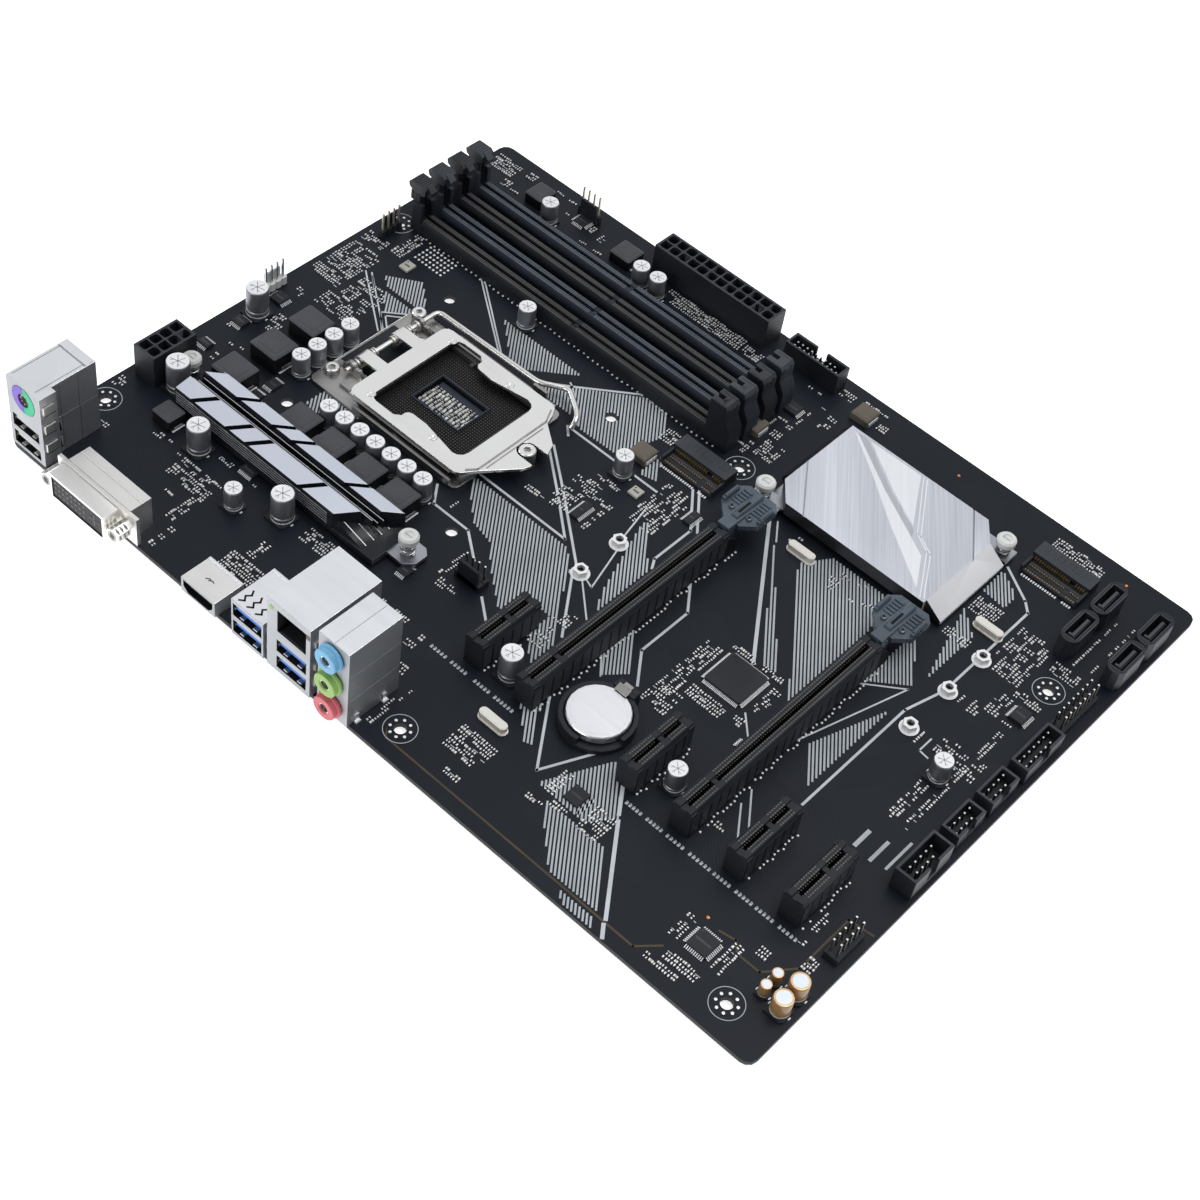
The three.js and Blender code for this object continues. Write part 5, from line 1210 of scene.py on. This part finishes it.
def chipset_cap():
    refined("chipset_heatsink", ["cap_side", "brushed", "sink_tab", "cap_slope"], bevel=0.15,
        pick=chipset_face)
    top = 7.2
    inlay = Shape()
    wedge = [(29.8, 88.2), (46.4, 76.5), (63.3, 63.7), (85.3, 48.5), (78.4, 60.4), (71.3, 64.4),
        (52.9, 74.5), (33.0, 87.1)]
    inlay.prism(wedge, (top - 0.1, top + 0.03), "band")
    groove = [(31.2, 88.4), (33.0, 87.2), (52.9, 74.6), (71.3, 64.5), (70.4, 67.3), (54.1, 76.0),
        (36.0, 87.9), (34.6, 88.6)]
    inlay.prism(groove, (top - 0.1, top + 0.02), "band_grey")
    inlay.prism([(36.6, 88.4), (54.6, 76.6), (68.9, 68.6), (57.3, 88.6)], (top - 0.1, top + 0.03), "band")
    for shift in (0.0, 1.5):
        path = [(58.4 + shift, 88.6), (71.9 + shift, 66.9), (78.5 + shift, 63.1),
            (88.2 + shift * 0.8, 46.4 + shift * 0.3)]
        inlay.strip(path, 0.42, (top - 0.1, top + 0.04), "band")
    inlay.made("chipset_cap_bands", "heatsink_aluminium", bevel=0.02, steps=1)
    # Thin near-black strips on the cap's side: painted shade standing in for slits.
    dark = Shape()
    for k in range(6):
        y = 60 + k * 4.4
        dark.box((24.72, 25.0), (y, y + 0.5), (1.6, 3.2), "deep")
    dark.made("chipset_cap_slits", "heatsink_aluminium")


def push_pins():
    for name in [n for n in frame["nodes"] if "push_pin" in n]:
        x, y, (_, top) = at(name)
        x, y = mid(x), mid(y)
        pin = Shape()
        head = [(1.3, -1.6), (1.3, top - 2.5), (3.3, top - 2.4), (3.3, top - 0.7), (2.7, top), (1.6, top),
                (1.4, top - 0.5), (0, top - 0.5)]
        pin.turned((x, y), head, "white", 28)
        for side in (-1, 1):
            prong = [(x - 1.1, y + side * 0.2), (x + 1.1, y + side * 0.2),
                     (x + 0.8, y + side * 1.25), (x - 0.8, y + side * 1.25)]
            pin.prism(prong[::side], (-3.2, -1.6), "white")
        pin.strip([(x - 1.9, y), (x + 1.9, y)], 0.5, (top - 0.55, top - 0.3), "ivory")
        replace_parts(pin.made(name + "_body", SLOT_OF[name], BODY_OF[name], bevel=0.12), name)
        spring = Shape()
        turns, count = 4.5, 110
        path = []
        for k in range(count + 1):
            a = 2 * math.pi * turns * k / count
            path.append((x + 2.15 * math.cos(a), y + 2.15 * math.sin(a), 2.8 + (top - 5.6) * k / count))
        spring.wire(path, 0.3, "wire_steel", 8)
        spring.made(name + "_spring", "steel_wire")


PIVOT = (-102.5, 3.6)  # x and height of the lever's shaft
CONTACTS = (-87.6, -51.6), (-17.6, 17.4)
CAVITY = (-80.8, -60.2), (-6.6, 7.5), (-1, 1.9)
BARE_MIDDLE = (-81.4, -59.7), (-7.2, 8.1)
CONTACT_GRID = 1.0


def socket_face(spot, normal):
    """Painted shade: the floor of the socket and the walls of its cavity, black plastic, take the near-black
    recess look.
    """
    return 1 if spot.z < 2.2 and normal.z > 0.5 or within(spot, CAVITY) else 0


def bent(corners, bend, steps=6):
    """A path through corners, each rounded off at a distance from it."""
    corners = [Vector(c) for c in corners]
    path = [corners[0]]
    for before, here, after in zip(corners, corners[1:], corners[2:]):
        a = here + (before - here).normalized() * bend
        b = here + (after - here).normalized() * bend
        for k in range(steps + 1):
            t = k / steps
            path.append(a * (1 - t) ** 2 + here * 2 * t * (1 - t) + b * t ** 2)
    path.append(corners[-1])
    return path


def processor_socket():
    refined("cpu_socket", ["socket", "deep"], bevel=0.15, pick=socket_face)
    refined("socket_frame", ["steel"], bevel=0.2)
    refined("socket_backplate", ["steel"], bevel=0.2)
    refined("load_plate", ["nickel"], bevel=0.22, steps=3)
    for name in ("socket_shoulder_screw", "socket_screw_rear_1", "socket_screw_rear_2"):
        refined(name, ["steel", "nickel"], bevel=0.12, pick=lambda s, n: 1 if n.z > 0.3 else 0)
    x, z = PIVOT
    lever = Shape()
    corners = [(x, -16, z), (x, 27.2, z), (-56, 27.2, z + 1.2), (-47.4, 32.6, z + 1.2),
               (-38.4, 26.6, z + 1.2), (-36, 23.6, z + 0.6), (-36.6, 22, z - 1.4)]
    lever.wire(bent(corners, 2.2), 1.0, "nickel", 18)
    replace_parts(lever.made("load_lever_rod", SLOT_OF["load_lever"], BODY_OF["load_lever"], bevel=0.12),
        "load_lever")
    lands, parts = Shape(), Shape()
    for u in steps_between(*CONTACTS[0], CONTACT_GRID):
        for v in steps_between(*CONTACTS[1], CONTACT_GRID):
            if within((u, v), BARE_MIDDLE, 0):
                continue
            foot = [(u - 0.3, v - 0.18), (u + 0.3, v - 0.18), (u + 0.3, v + 0.18), (u - 0.3, v + 0.18)]
            tip = [(u, v - 0.14), (u + 0.4, v - 0.14), (u + 0.4, v + 0.14), (u, v + 0.14)]
            lands.prism(foot, (1.78, 2.0), "land", top=tip)
    lands.made("socket_contacts", "gold_contact")
    rim = Shape()
    for a in ((-81.3, -80.72), (-60.28, -59.7)):
        rim.box(a, (-7.1, 8.0), (1.78, 2.5), "socket_rim", 0.1)
    for b in ((-7.1, -6.52), (7.42, 8.0)):
        rim.box((-80.72, -60.28), b, (1.78, 2.5), "socket_rim", 0.1)
    rim.box((-80, -61), (4.4, 7.0), (0.0, 0.5), "socket_rim", 0.1)
    rim.made("socket_cavity_rim", "socket_plastic")
    for i in range(13):
        for j in range(7):
            u, v = -79.6 + i * 1.52 + RNG.uniform(-0.2, 0.2), -5.7 + j * 1.55 + RNG.uniform(-0.15, 0.15)
            look = RNG.choice(("tan", "pale_ceramic", "pale_ceramic", "epoxy", "white"))
            parts.block(u, v, 0.42, 0.36, (0.02, 0.6), look)
            for s in (-1, 1):
                parts.box(span(u, 0.42), beside(v, s, 0.34, 0.58), (0, 0.62), "solder", 0.05)
    parts.made("socket_cavity_parts", "ceramic_tan")
    hinge = Shape()
    for v in (-13.2, -11.4, -4.2, -3.2, 5.0, 6.0, 12.2, 13.2, 16.4):
        hinge.ring((x, z), 1.15, 1.9, (v, v + 0.55), "tin_warm", 24, "y")
    for v in (-12.6, 14.6):
        hinge.turned((x + 4.6, v), [(1.5, 1.25), (1.4, 1.9), (0.6, 2.1), (0, 2.1)], "nickel", 24)
    # A thin dark sheet beside the hinge: painted shade standing in for the shadow under the frame there.
    hinge.box((-109.4, -105.3), (-11.6, 13.0), (1.28, 1.42), "slot_dark", 0.05)
    hinge.box((-110.0, -109.6), (-20, 20), (1.25, 1.9), "nickel", 0.1)
    for v in (-20.6, 19.6):
        hinge.box((-100.6, -95.6), (v, v + 1.2), (1.25, 2.6), "steel", 0.25)
    hinge.made("socket_hinge_parts", "polished_nickel", bevel=0.05)
    pressed = Shape()
    pressed.strip([(-43.6, -20.2), (-41.2, -17.2), (-41.2, 14.6), (-43.6, 19.4)], 0.5, (6.35, 6.72), "steel")
    pressed.strip([(-39.8, -14.6), (-39.8, 11.4)], 0.35, (6.35, 6.6), "steel")
    for u, v in ((-60.4, 17.8), (-60.4, -17.9), (-87.4, 18.4), (-87.4, -19)):
        pressed.turned((u, v), [(1.5, 6.36), (1.2, 6.62), (0.7, 6.62), (0.4, 6.45), (0, 6.45)], "nickel", 24)
    pressed.made("load_plate_bead", SLOT_OF["load_plate"], BODY_OF["load_plate"], bevel=0.15)


def cell_holder():
    x, y = centre("coin_cell")
    spring = [span(x, 2.5), (y + 10.3, y + 11.7), (1.9, 99)]
    refined("battery_holder", ["black", "steel"], bevel=0.15, pick=lambda s, n: int(within(s, spring, 0)))
    refined("coin_cell", ["cell"], bevel=0.0, sharp=20)
    marks = Shape()
    marks.turned((x, y), [(9.3, 5.2), (9.3, 5.42), (0, 5.42)], "cell", 64)
    marks.ring((x, y), 8.3, 8.5, (5.35, 5.47), "cell", 64)
    marks.ring((x, y), 9.35, 9.95, (2.9, 5.1), "cell", 64)
    marks.made("coin_cell_cap", SLOT_OF["coin_cell"], BODY_OF["coin_cell"], bevel=0.05)
    clip = Shape()
    clip.prism([(y + 10.5, 5.0), (y + 11.5, 5.0), (y + 11.5, 6.9), (y + 9.2, 6.1), (y + 9.2, 5.75),
        (y + 10.6, 6.0)], span(x, 2.3), "steel", "x")
    clip.box(span(x, 3.9), (y + 12.0, y + 14.2), (4.6, 5.4), "black", 0.2)
    clip.box(span(x, 1.6), (y + 12.3, y + 13.9), (5.2, 5.8), "steel", 0.15)
    clip.made("battery_clip", "polished_nickel", bevel=0.08)


# Contacts and feet of an M.2 socket: range from its middle line, height and look.
# The two back rows of contacts take the dimmer gold as painted shade.
CARD_FINGERS = [
    (-2.9, -1.9, (1.1, 3.0), "gold"), (-5.5, -4.9, (1.1, 1.65), "copper_dim"),
    (-8.1, -7.5, (1.1, 1.5), "copper_dim"),
    (4.3, 5.3, (0, 0.25), "solder"), (-9.9, -9.0, (0, 0.2), "solder"),
]


def small_sockets():
    gold, seats = Shape(), Shape()
    for name in ("m2_socket_1", "m2_socket_2"):
        x, y, _ = at(name)
        x, y = mid(x), y[1] - 4.4
        # Painted highlight: top faces above 4 mm take the lighter slate look.
        refined(name, ["epoxy", "slate"], bevel=0.12, pick=lambda s, n: 1 if n.z > 0.7 and s.z > 4 else 0)
        for u in steps_between(x - 9.3, x + 9.3, 0.95):
            if abs(u - x - 5.2) < 0.9:
                continue
            for near, far, z, look in CARD_FINGERS:
                gold.box(span(u, 0.27), (y + near, y + far), z, look)
        seats.box(span(x, 9.9), (y - 4.6, y - 3.6), (1.15, 1.6), "slate", 0.1)
        seats.box(span(x, 9.9), (y - 7.0, y - 6.2), (1.15, 1.4), "black", 0.1)
        for v in steps_between(x - 8, x + 8, 2.0):
            seats.box(span(v, 0.6), (y + 0.4, y + 3.4), (4.35, 4.5), "slate", 0.08)
    for name in [n for n in frame["nodes"] if n.startswith("sata_port")]:
        x, y = centre(name)
        refined(name, ["black"], bevel=0)
        # Lighter outlines along the top rim and round the well: painted highlight on the top edges.
        rim = arc(x, y + 4.7, 3.2, 10, 170, 10) + arc(x, y - 4.7, 3.2, 190, 350, 10)
        seats.strip(rim + rim[:1], 0.35, (8.72, 8.86), "head_slate")
        well = [(x - 2.25, y - 6.15), (x + 2.25, y - 6.15), (x + 2.25, y + 6.15), (x - 2.25, y + 6.15)]
        seats.strip(well + well[:1], 0.25, (8.72, 8.84), "head_slate")
        seats.box((x - 0.3, x + 0.85), span(y, 4.7), (2.5, 8.3), "slate", 0.1)
        seats.box((x - 0.15, x + 0.7), span(y, 4.5), (8.25, 8.35), "head_slate")
        seats.box((x - 1.2, x - 0.2), (y - 4.7, y - 3.9), (2.5, 8.3), "head_slate")
        for v in steps_between(y - 4.2, y + 4.2, 1.27):
            gold.box((x - 0.42, x - 0.28), span(v, 0.3), (2.4, 7.6), "gold")
    gold.made("socket_fingers", "gold_contact")
    seats.made("m2_socket_seats", "black_plastic")


def pin_face(spot, normal):
    """Open headers: plastic base, then pins painted dull lower down as shade, with bright pin tips as painted
    highlight.
    """
    return (spot.z > 2.55) + (spot.z > 8.3)


def wired_headers():
    pins = Shape()
    for name, pitch, columns in (("front_usb3_header", 2.0, 10), ("serial_header", 2.54, 5),
        ("usb2_header_1", 2.54, 5),
                                 ("usb2_header_2", 2.54, 5), ("usb2_header_3", 2.54, 7)):
        (x0, x1), (y0, y1), (_, top) = at(name)
        x, y = centre(name)
        # Painted highlight: top faces near the top take the lighter slate look.
        refined(name, ["slot_dark", "slate"], bevel=0.18,
                pick=lambda s, n, top=top: 1 if n.z > 0.7 and s.z > top - 0.3 else 0)
        for i in range(columns):
            for side in (-1, 1):
                if i == columns - 1 and side > 0:
                    continue
                u, v = (i - (columns - 1) / 2) * pitch, side * pitch / 2
                px, py = (x + u, y + v) if x1 - x0 > y1 - y0 else (x + v, y + u)
                # Pins inside the shroud: a dull shank as painted shade and a bright cap as painted highlight.
                pins.block(px, py, 0.3, 0.3, (PIN_END, top - 1.6), "land")
                pins.block(px, py, 0.28, 0.28, (top - 1.65, top - 1.2), "solder", 0.15)
    pins.made("box_header_pins", "gold_contact")
    for name in ("front_panel_header", "cpu_fan_header", "audio_header"):
        refined(name, ["black", "land", "solder"], bevel=0.1, pick=pin_face)
    x, y, _ = at("cpu_fan_header")
    guard = Shape()
    guard.box((x[0] + 1, x[1] - 1), (y[0] - 2.4, y[0] - 1.3), (0, 8.4), "black", 0.3)
    guard.box((x[0] - 0.2, x[1] + 0.2), (y[0] - 2.4, y[0] - 0.05), (0, 2.6), "black", 0.2)
    guard.made("cpu_fan_header_guard", "black_plastic", bevel=0.1)
    refined("super_io_chip", ["epoxy"], bevel=0.12)


# ---- Rear connectors ---------------------------------------------------------
REAR = -114.5  # front face of the rear connectors, and of the keyboard port's stack
PS2_FACE = -112.9


def usb_well(x, z, face):
    """A USB port's well and its tongue as ranges, for telling their faces apart."""
    well = [x, (face, face + 9), (z, z + 5.1)]
    tongue = [(x[0] + 1, x[1] - 1), (face + 0.8, face + 9), (z + 2.9, z + 4.5)]
    return well, tongue


def port_face(wells, shaded_side_from_y):
    def pick(spot, normal):
        for well, tongue in wells:
            if tongue and within(spot, tongue):
                return 2
            # Painted shade: faces inside a well, behind its mouth, take the near-black recess look.
            if within(spot, [well[0], (well[1][0] + 0.05, well[1][1]), well[2]]):
                return 1
        # Painted shade: sides facing +x, beyond the given y, take the darker tin.
        if normal.x > 0.7 and spot.y > shaded_side_from_y:
            return 3
        # Painted shade: faces looking to -y take the darker front tin.
        return 4 if normal.y < -0.7 else 0
    return pick


def dress_well(shape, x, z, face, look):
    """Contacts on a well's tongue, the sprung fingers in its walls and its folded lip."""
    for u in steps_between(x[0] + 2.6, x[1] - 2.6, 2.3):
        shape.box(span(u, 0.45), (face + 1.6, face + 7.5), (z + 2.8, z + 2.95), "gold")
    shape.box((x[0] + 0.9, x[1] - 0.9), (face + 0.7, face + 0.85), (z + 2.85, z + 4.55), look)
    for u in (x[0] + 3.2, x[1] - 3.2):
        shape.box(span(u, 0.9), (face + 0.5, face + 4.5), (z + 0.0, z + 0.35), "tin", 0.1)
        shape.box(span(u, 0.9), (face + 0.5, face + 4.5), (z + 4.75, z + 5.1), "tin")
    for side in x:
        u = sorted((side, side + (0.3 if side == x[0] else -0.3)))
        shape.box(u, (face + 0.8, face + 4.2), (z + 1.7, z + 2.7), "tin")


def audio_face(spot, normal):
    # Painted shade: sides facing +x take the darker tin.
    if normal.x > 0.7:
        return 3
    # Painted shade: the walls of the jack bores take the near-black recess look.
    bores = [span(-5.7, 4.2), (REAR + 1, REAR + 14.2), (1, 32)]
    if abs(normal.z) < 0.99 and within(spot, bores, 0):
        return 1
    # Painted shade: faces looking to -y take the darker front tin.
    return 2 if normal.y < -0.7 else 0


def keyboard_stack(detail, seams):
    px, pz = -142.8, 23.4
    ps2_wells = [usb_well((px - 6.3, px + 5.9), z, PS2_FACE) for z in (1.5, 8.9)]
    round_well = ([span(px, 5.5), (PS2_FACE, PS2_FACE + 7.2), span(pz, 5.5)], None)
    refined("ps2_usb_port", ["tin", "deep", "ivory", "tin_dark", "tin_face"], bevel=0.18,
        pick=port_face(ps2_wells + [round_well], -106))
    for z in (1.5, 8.9):
        dress_well(detail, (px - 6.3, px + 5.9), z, PS2_FACE, "ivory")
    for a0, a1, look in ((91, 269, "purple"), (-89, 89, "green")):
        outline = arc(px, pz, 5.3, a0, a1, 16) + arc(px, pz, 2.5, a1, a0, 16)
        detail.prism(outline, (PS2_FACE - 0.1, PS2_FACE + 1.1), look, "y")
    detail.turned((px, pz), [(2.6, PS2_FACE + 0.4), (2.6, PS2_FACE + 0.9)], "epoxy", 28, "y")
    for k in range(6):
        a = math.radians(30 + 48 * k)
        pin = (px + 1.7 * math.cos(a), pz + 1.7 * math.sin(a))
        detail.turned(pin, [(0.3, PS2_FACE + 0.34), (0.3, PS2_FACE + 0.5)], "gold", 10, "y")
    detail.box(span(px, 0.5), (PS2_FACE + 0.32, PS2_FACE + 0.5), span(pz, 0.9), "deep")
    top = 29.2
    for x in (-149.4, -138.5):
        seams.box(span(x, 0.1), (-111.4, -91.5), (top - 0.02, top + 0.06), "tin_dark")
    seams.box((-150.2, -137.6), (-93.2, -92.9), (top - 0.02, top + 0.08), "tin_dark")
    detail.box((-150.4, -137.4), (-92.8, -89.4), (top - 0.1, top + 0.3), "tin", 0.12)
    for z in (6, 14, 22):
        detail.box((-134.95, -134.5), (-111.6, -107.6), (z, z + 3.4), "tin_warm", 0.15)
        seams.box((-134.52, -134.44), (-111.9, -107.3), (z - 0.35, z - 0.15), "deep")
        seams.box((-134.92, -134.84), (-111.9, -107.3), (z + 3.5, z + 3.7), "deep")
    for y in (-103.5, -96.5):
        seams.box((-137.22, -137.12), (y, y + 0.2), (0.8, 28.4), "steel")
    seams.box((-137.22, -137.12), (-105.8, -89.6), (14.6, 14.8), "steel")


def video_ports(detail, seams):
    """Digital video with pins in the nose, ribs across the top and hex posts, then HDMI."""
    nose = -119.8
    refined("dvi_port", ["tin_warm", "black", "black", "tin_warm"], bevel=0.2,
            pick=lambda s, n: 1 if within(s, [(-122.6, -99.4), (nose + 0.3, nose + 0.82), (2.4, 11)]) else 0)
    detail.box((-122.3, -99.7), (nose + 0.35, nose + 0.82), (2.7, 10.7), "black")
    for i in range(8):
        for j in range(3):
            u, w = -121.3 + i * 1.9, 4.5 + j * 2.2
            detail.box(span(u, 0.4), (nose + 0.25, nose + 0.36), span(w, 0.4), "land")
    detail.box((-105.4, -101.0), (nose + 0.25, nose + 0.36), (6.5, 6.9), "land")
    detail.box((-103.4, -103.0), (nose + 0.25, nose + 0.36), (4.5, 8.9), "land")
    for y in (-113.9, -107.6):
        detail.box((-123.4, -95.2), (y, y + 0.8), (12.3, 12.85), "tin_warm", 0.2)
    for x in (-126, -95.2):
        detail.ring((x, 6.4), 1.35, 1.9, (nose + 0.28, nose + 0.5), "steel", 20, "y")
        for k in range(3):
            detail.ring((x, 6.4), 2.6, 2.95, (nose + 1.4 + k * 1.5, nose + 1.9 + k * 1.5), "steel", 6, "y")
    hdmi = ([(-68.9, -56.1), (REAR, REAR + 8), (0.9, 5.4)], [(-67.5, -57.5), (REAR + 1, REAR + 8), (3, 4.2)])
    refined("hdmi_port", ["tin_warm", "deep", "black", "tin_dark", "tin_face"], bevel=0.15,
        pick=port_face([hdmi], -112))
    for i in range(10):
        u = -66.8 + i * 0.95
        detail.box(span(u, 0.2), (REAR + 1.4, REAR + 7), (2.9, 3.02), "gold")
    for x in (-63.4, -62.2):
        seams.strip([(x - 0.9, -109.6), (x + 0.1, -108.9), (x + 0.9, -109.2)], 0.3, (6.18, 6.26), "deep")
    detail.box((-69.8, -55.2), (-103.9, -102.9), (6.1, 6.5), "tin", 0.12)


def usb_stacks(detail, seams):
    """The USB 3 stack, then the stack with the network port."""
    blue_wells = [usb_well((-46.9, -34.8), z, REAR) for z in (1.6, 9)]
    refined("usb3_port_stack", ["tin", "deep", "blue", "tin_dark", "tin_face"], bevel=0.18,
        pick=port_face(blue_wells, -108.6))
    for z in (1.6, 9):
        dress_well(detail, (-46.9, -34.8), z, REAR, "blue")
    for x in (-45.0, -41.4, -37.8):
        path = [(x - 0.6, -113.2), (x + 0.7, -112.2), (x - 0.5, -110.8), (x + 0.7, -109.4), (x - 0.2, -108)]
        seams.strip(path, 0.6, (15.76, 15.84), "deep")
    detail.box((-47.6, -34.1), (-98.8, -97.6), (15.7, 16.15), "tin", 0.15)
    for z in (4.5, 11.6):
        detail.box((-34.05, -33.6), (-112.8, -108.6), span(z, 1), "tin_warm", 0.15)
    seams.box((-34.04, -33.94), (-108, -98), (7.4, 7.6), "deep")
    lan_wells = [usb_well((-28.2, -16), z, REAR) for z in (2.1, 9.5)]
    plug = ([(-28, -16.2), (REAR, REAR + 13), (18.6, 27.8)], None)
    refined("lan_usb_port_stack", ["tin", "deep", "blue", "tin_dark", "tin_face"], bevel=0.18,
        pick=port_face(lan_wells + [plug], -107.5))
    for z in (2.1, 9.5):
        dress_well(detail, (-28.2, -16), z, REAR, "blue")
    for i in range(8):
        u = -25.7 + i * 1.02
        detail.wire([(u, REAR + 2.0, 27.6), (u, REAR + 3.2, 27.1), (u, REAR + 9.5, 22.6)], 0.2, "gold", 6)
    for u, look in ((-30.4, "jack_green"), (-15.3, "tan")):
        detail.box(span(u, 0.75), (REAR - 0.12, REAR + 0.3), (26.2, 28.0), look)
    detail.box((-27, -17.2), (REAR + 0.4, REAR + 8), (18.6, 19.1), "black")
    for z in (5.5, 12.8, 23):
        detail.box((-14.45, -13.95), (-112.6, -108.2), span(z, 1.3), "tin_warm", 0.15)
    seams.box((-14.44, -14.34), (-107.6, -87.2), (16.2, 16.45), "deep")
    for y in (-101, -94):
        seams.box((-14.44, -14.34), (y, y + 0.22), (1, 29.6), "deep")


def sound_jacks(detail, seams):
    refined("audio_port_housing", ["tin", "deep", "tin_face", "tin_dark"], bevel=0.18, pick=audio_face)
    y0 = REAR
    for name, look, z in (("audio_jack_line_in", "jack_blue", 27.6),
        ("audio_jack_line_out", "jack_green", 16.8),
                          ("audio_jack_microphone", "jack_pink", 6)):
        sleeve = Shape()
        sleeve.ring((-5.7, z), 1.8, 3.6, (y0 - 0.5, y0 + 13.6), look, 40, "y")
        sleeve.ring((-5.7, z), 1.8, 4.2, (y0 - 2.9, y0 + 0.1), look, 40, "y")
        sleeve.ring((-5.7, z), 3.5, 4.7, (y0 - 1.1, y0 + 0.2), look, 40, "y")
        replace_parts(sleeve.made(name + "_sleeve", SLOT_OF[name], bevel=0.4, steps=3), name)
        detail.ring((-5.7, z), 1.55, 1.85, (y0 - 2.5, y0 + 3), "nickel", 32, "y")
        # A near-black plug down the jack's bore: painted shade inside the hole.
        detail.turned((-5.7, z), [(1.8, y0 + 6.0), (1.8, y0 + 12)], "deep", 24, "y")
    for z in (11.2, 22.0):
        seams.box((0.58, 0.66), (-113.6, -93.4), (z, z + 0.12), "tin_dark")
    for y in (-110, -99):
        detail.box((0.5, 1.7), span(y, 1.0), (0, 0.8), "solder", 0.25)
        detail.box((0.55, 1.05), span(y, 0.8), (0.4, 3.4), "tin", 0.1)
    seams.box((-5.6, -5.45), (-113.6, -93.6), (33.18, 33.26), "tin_dark")


def rear_ports():
    detail, seams = Shape(), Shape()
    for build in (keyboard_stack, video_ports, usb_stacks, sound_jacks):
        build(detail, seams)
    detail.made("port_fittings", "port_tin")
    seams.made("port_seams", "black_plastic")


# ---- Underside ---------------------------------------------------------------
# Rows of solder joints under the rear connectors: first x, last x and joints in a row.
PORT_LEGS = [(-148, -138, 5), (-121, -98, 12), (-67, -58, 6), (-46, -36, 5), (-29, -17, 6), (-10, -1, 4)]
UNDER_CLUSTERS = [(-84, -60, -11, 13), (-120, -60, 66, 70), (-20, 10, -20, 10), (40, 80, 55, 80),
    (60, 80, -30, -4),
                  (-130, -60, -46, -40)]


def underside():
    joints = Shape()

    def dome(x, y, r=0.75, h=1.1):
        profile = [(0.0, UNDER - h), (r * 0.35, UNDER - h + 0.05), (r * 0.55, UNDER - h * 0.45),
                   (r, UNDER), (r, UNDER + 0.05)]
        joints.turned((x, y), profile, "solder", 10)

    for i in range(1, 5):
        y = mid(at("dimm_slot_%d" % i)[1])
        for k, u in enumerate(steps_between(-136, -7, 1.7)):
            dome(u, y + (1.9 if k % 2 else -1.9), 0.5, 0.9)
    for name in CARD_SLOTS:
        x = mid(at(name)[0])
        for k, v in enumerate(steps_between(-68, slot_end(name) - 3, 1.5)):
            dome(x + (1.8 if k % 2 else -1.8), v, 0.5, 0.9)
    for x, y in POWER_SPOTS:
        dome(x, y, 1.2, 1.5)
    for x, y, r, _ in CAPS + AUDIO_CAPS:
        dome(x - r * 0.4, y, 0.8)
        dome(x + r * 0.4, y, 0.8)
    for x, y in STANDOFFS:
        dome(x, y, 1.6, 0.9)
    for x0, x1, count in PORT_LEGS:
        for u in steps_between(x0, x1, (x1 - x0) / count):
            dome(u, -101.0, 0.7, 1.1)
            dome(u + 0.6, -98.6, 0.7, 1.1)
    joints.made("solder_joints", "solder_silver")
    parts = Shape()
    for x0, x1, y0, y1 in UNDER_CLUSTERS:
        for u in steps_between(x0, x1, 3.0):
            for v in steps_between(y0, y1, 3.0):
                if RNG.random() < 0.4:
                    continue
                for s in (-1, 1):
                    parts.box(span(u, 0.4), beside(v, s, 0.45, 0.8), (UNDER - 0.42, UNDER), "solder")
                parts.block(u, v, 0.38, 0.45, (UNDER - 0.4, UNDER - 0.02), RNG.choice(("tan", "epoxy")))
    parts.made("underside_parts", "ceramic_tan")
    lines = Shape()
    ink = (UNDER - 0.05, UNDER)
    for k in range(5):
        y = -94 + k * 4.5
        lines.box((20, 120), (y, y + 0.5), ink, "silk_dim")
    for x, y in ((-20, 45), (48, 20), (118, -20)):
        for r in (6, 9):
            lines.ring((x, y), r, r + 0.3, ink, "silk_dim", 36)
    lines.made("underside_print", "silk_print")


bare_board()
memory_slots()
card_slots()
power_sockets()
voltage_sink()
chipset_cap()
push_pins()
processor_socket()
cell_holder()
small_sockets()
wired_headers()
rear_ports()
capacitors()
chokes()
chips()
open_headers()
standoffs()
printed()
solder_dots()
small_parts()
underside()
studio()
camera()
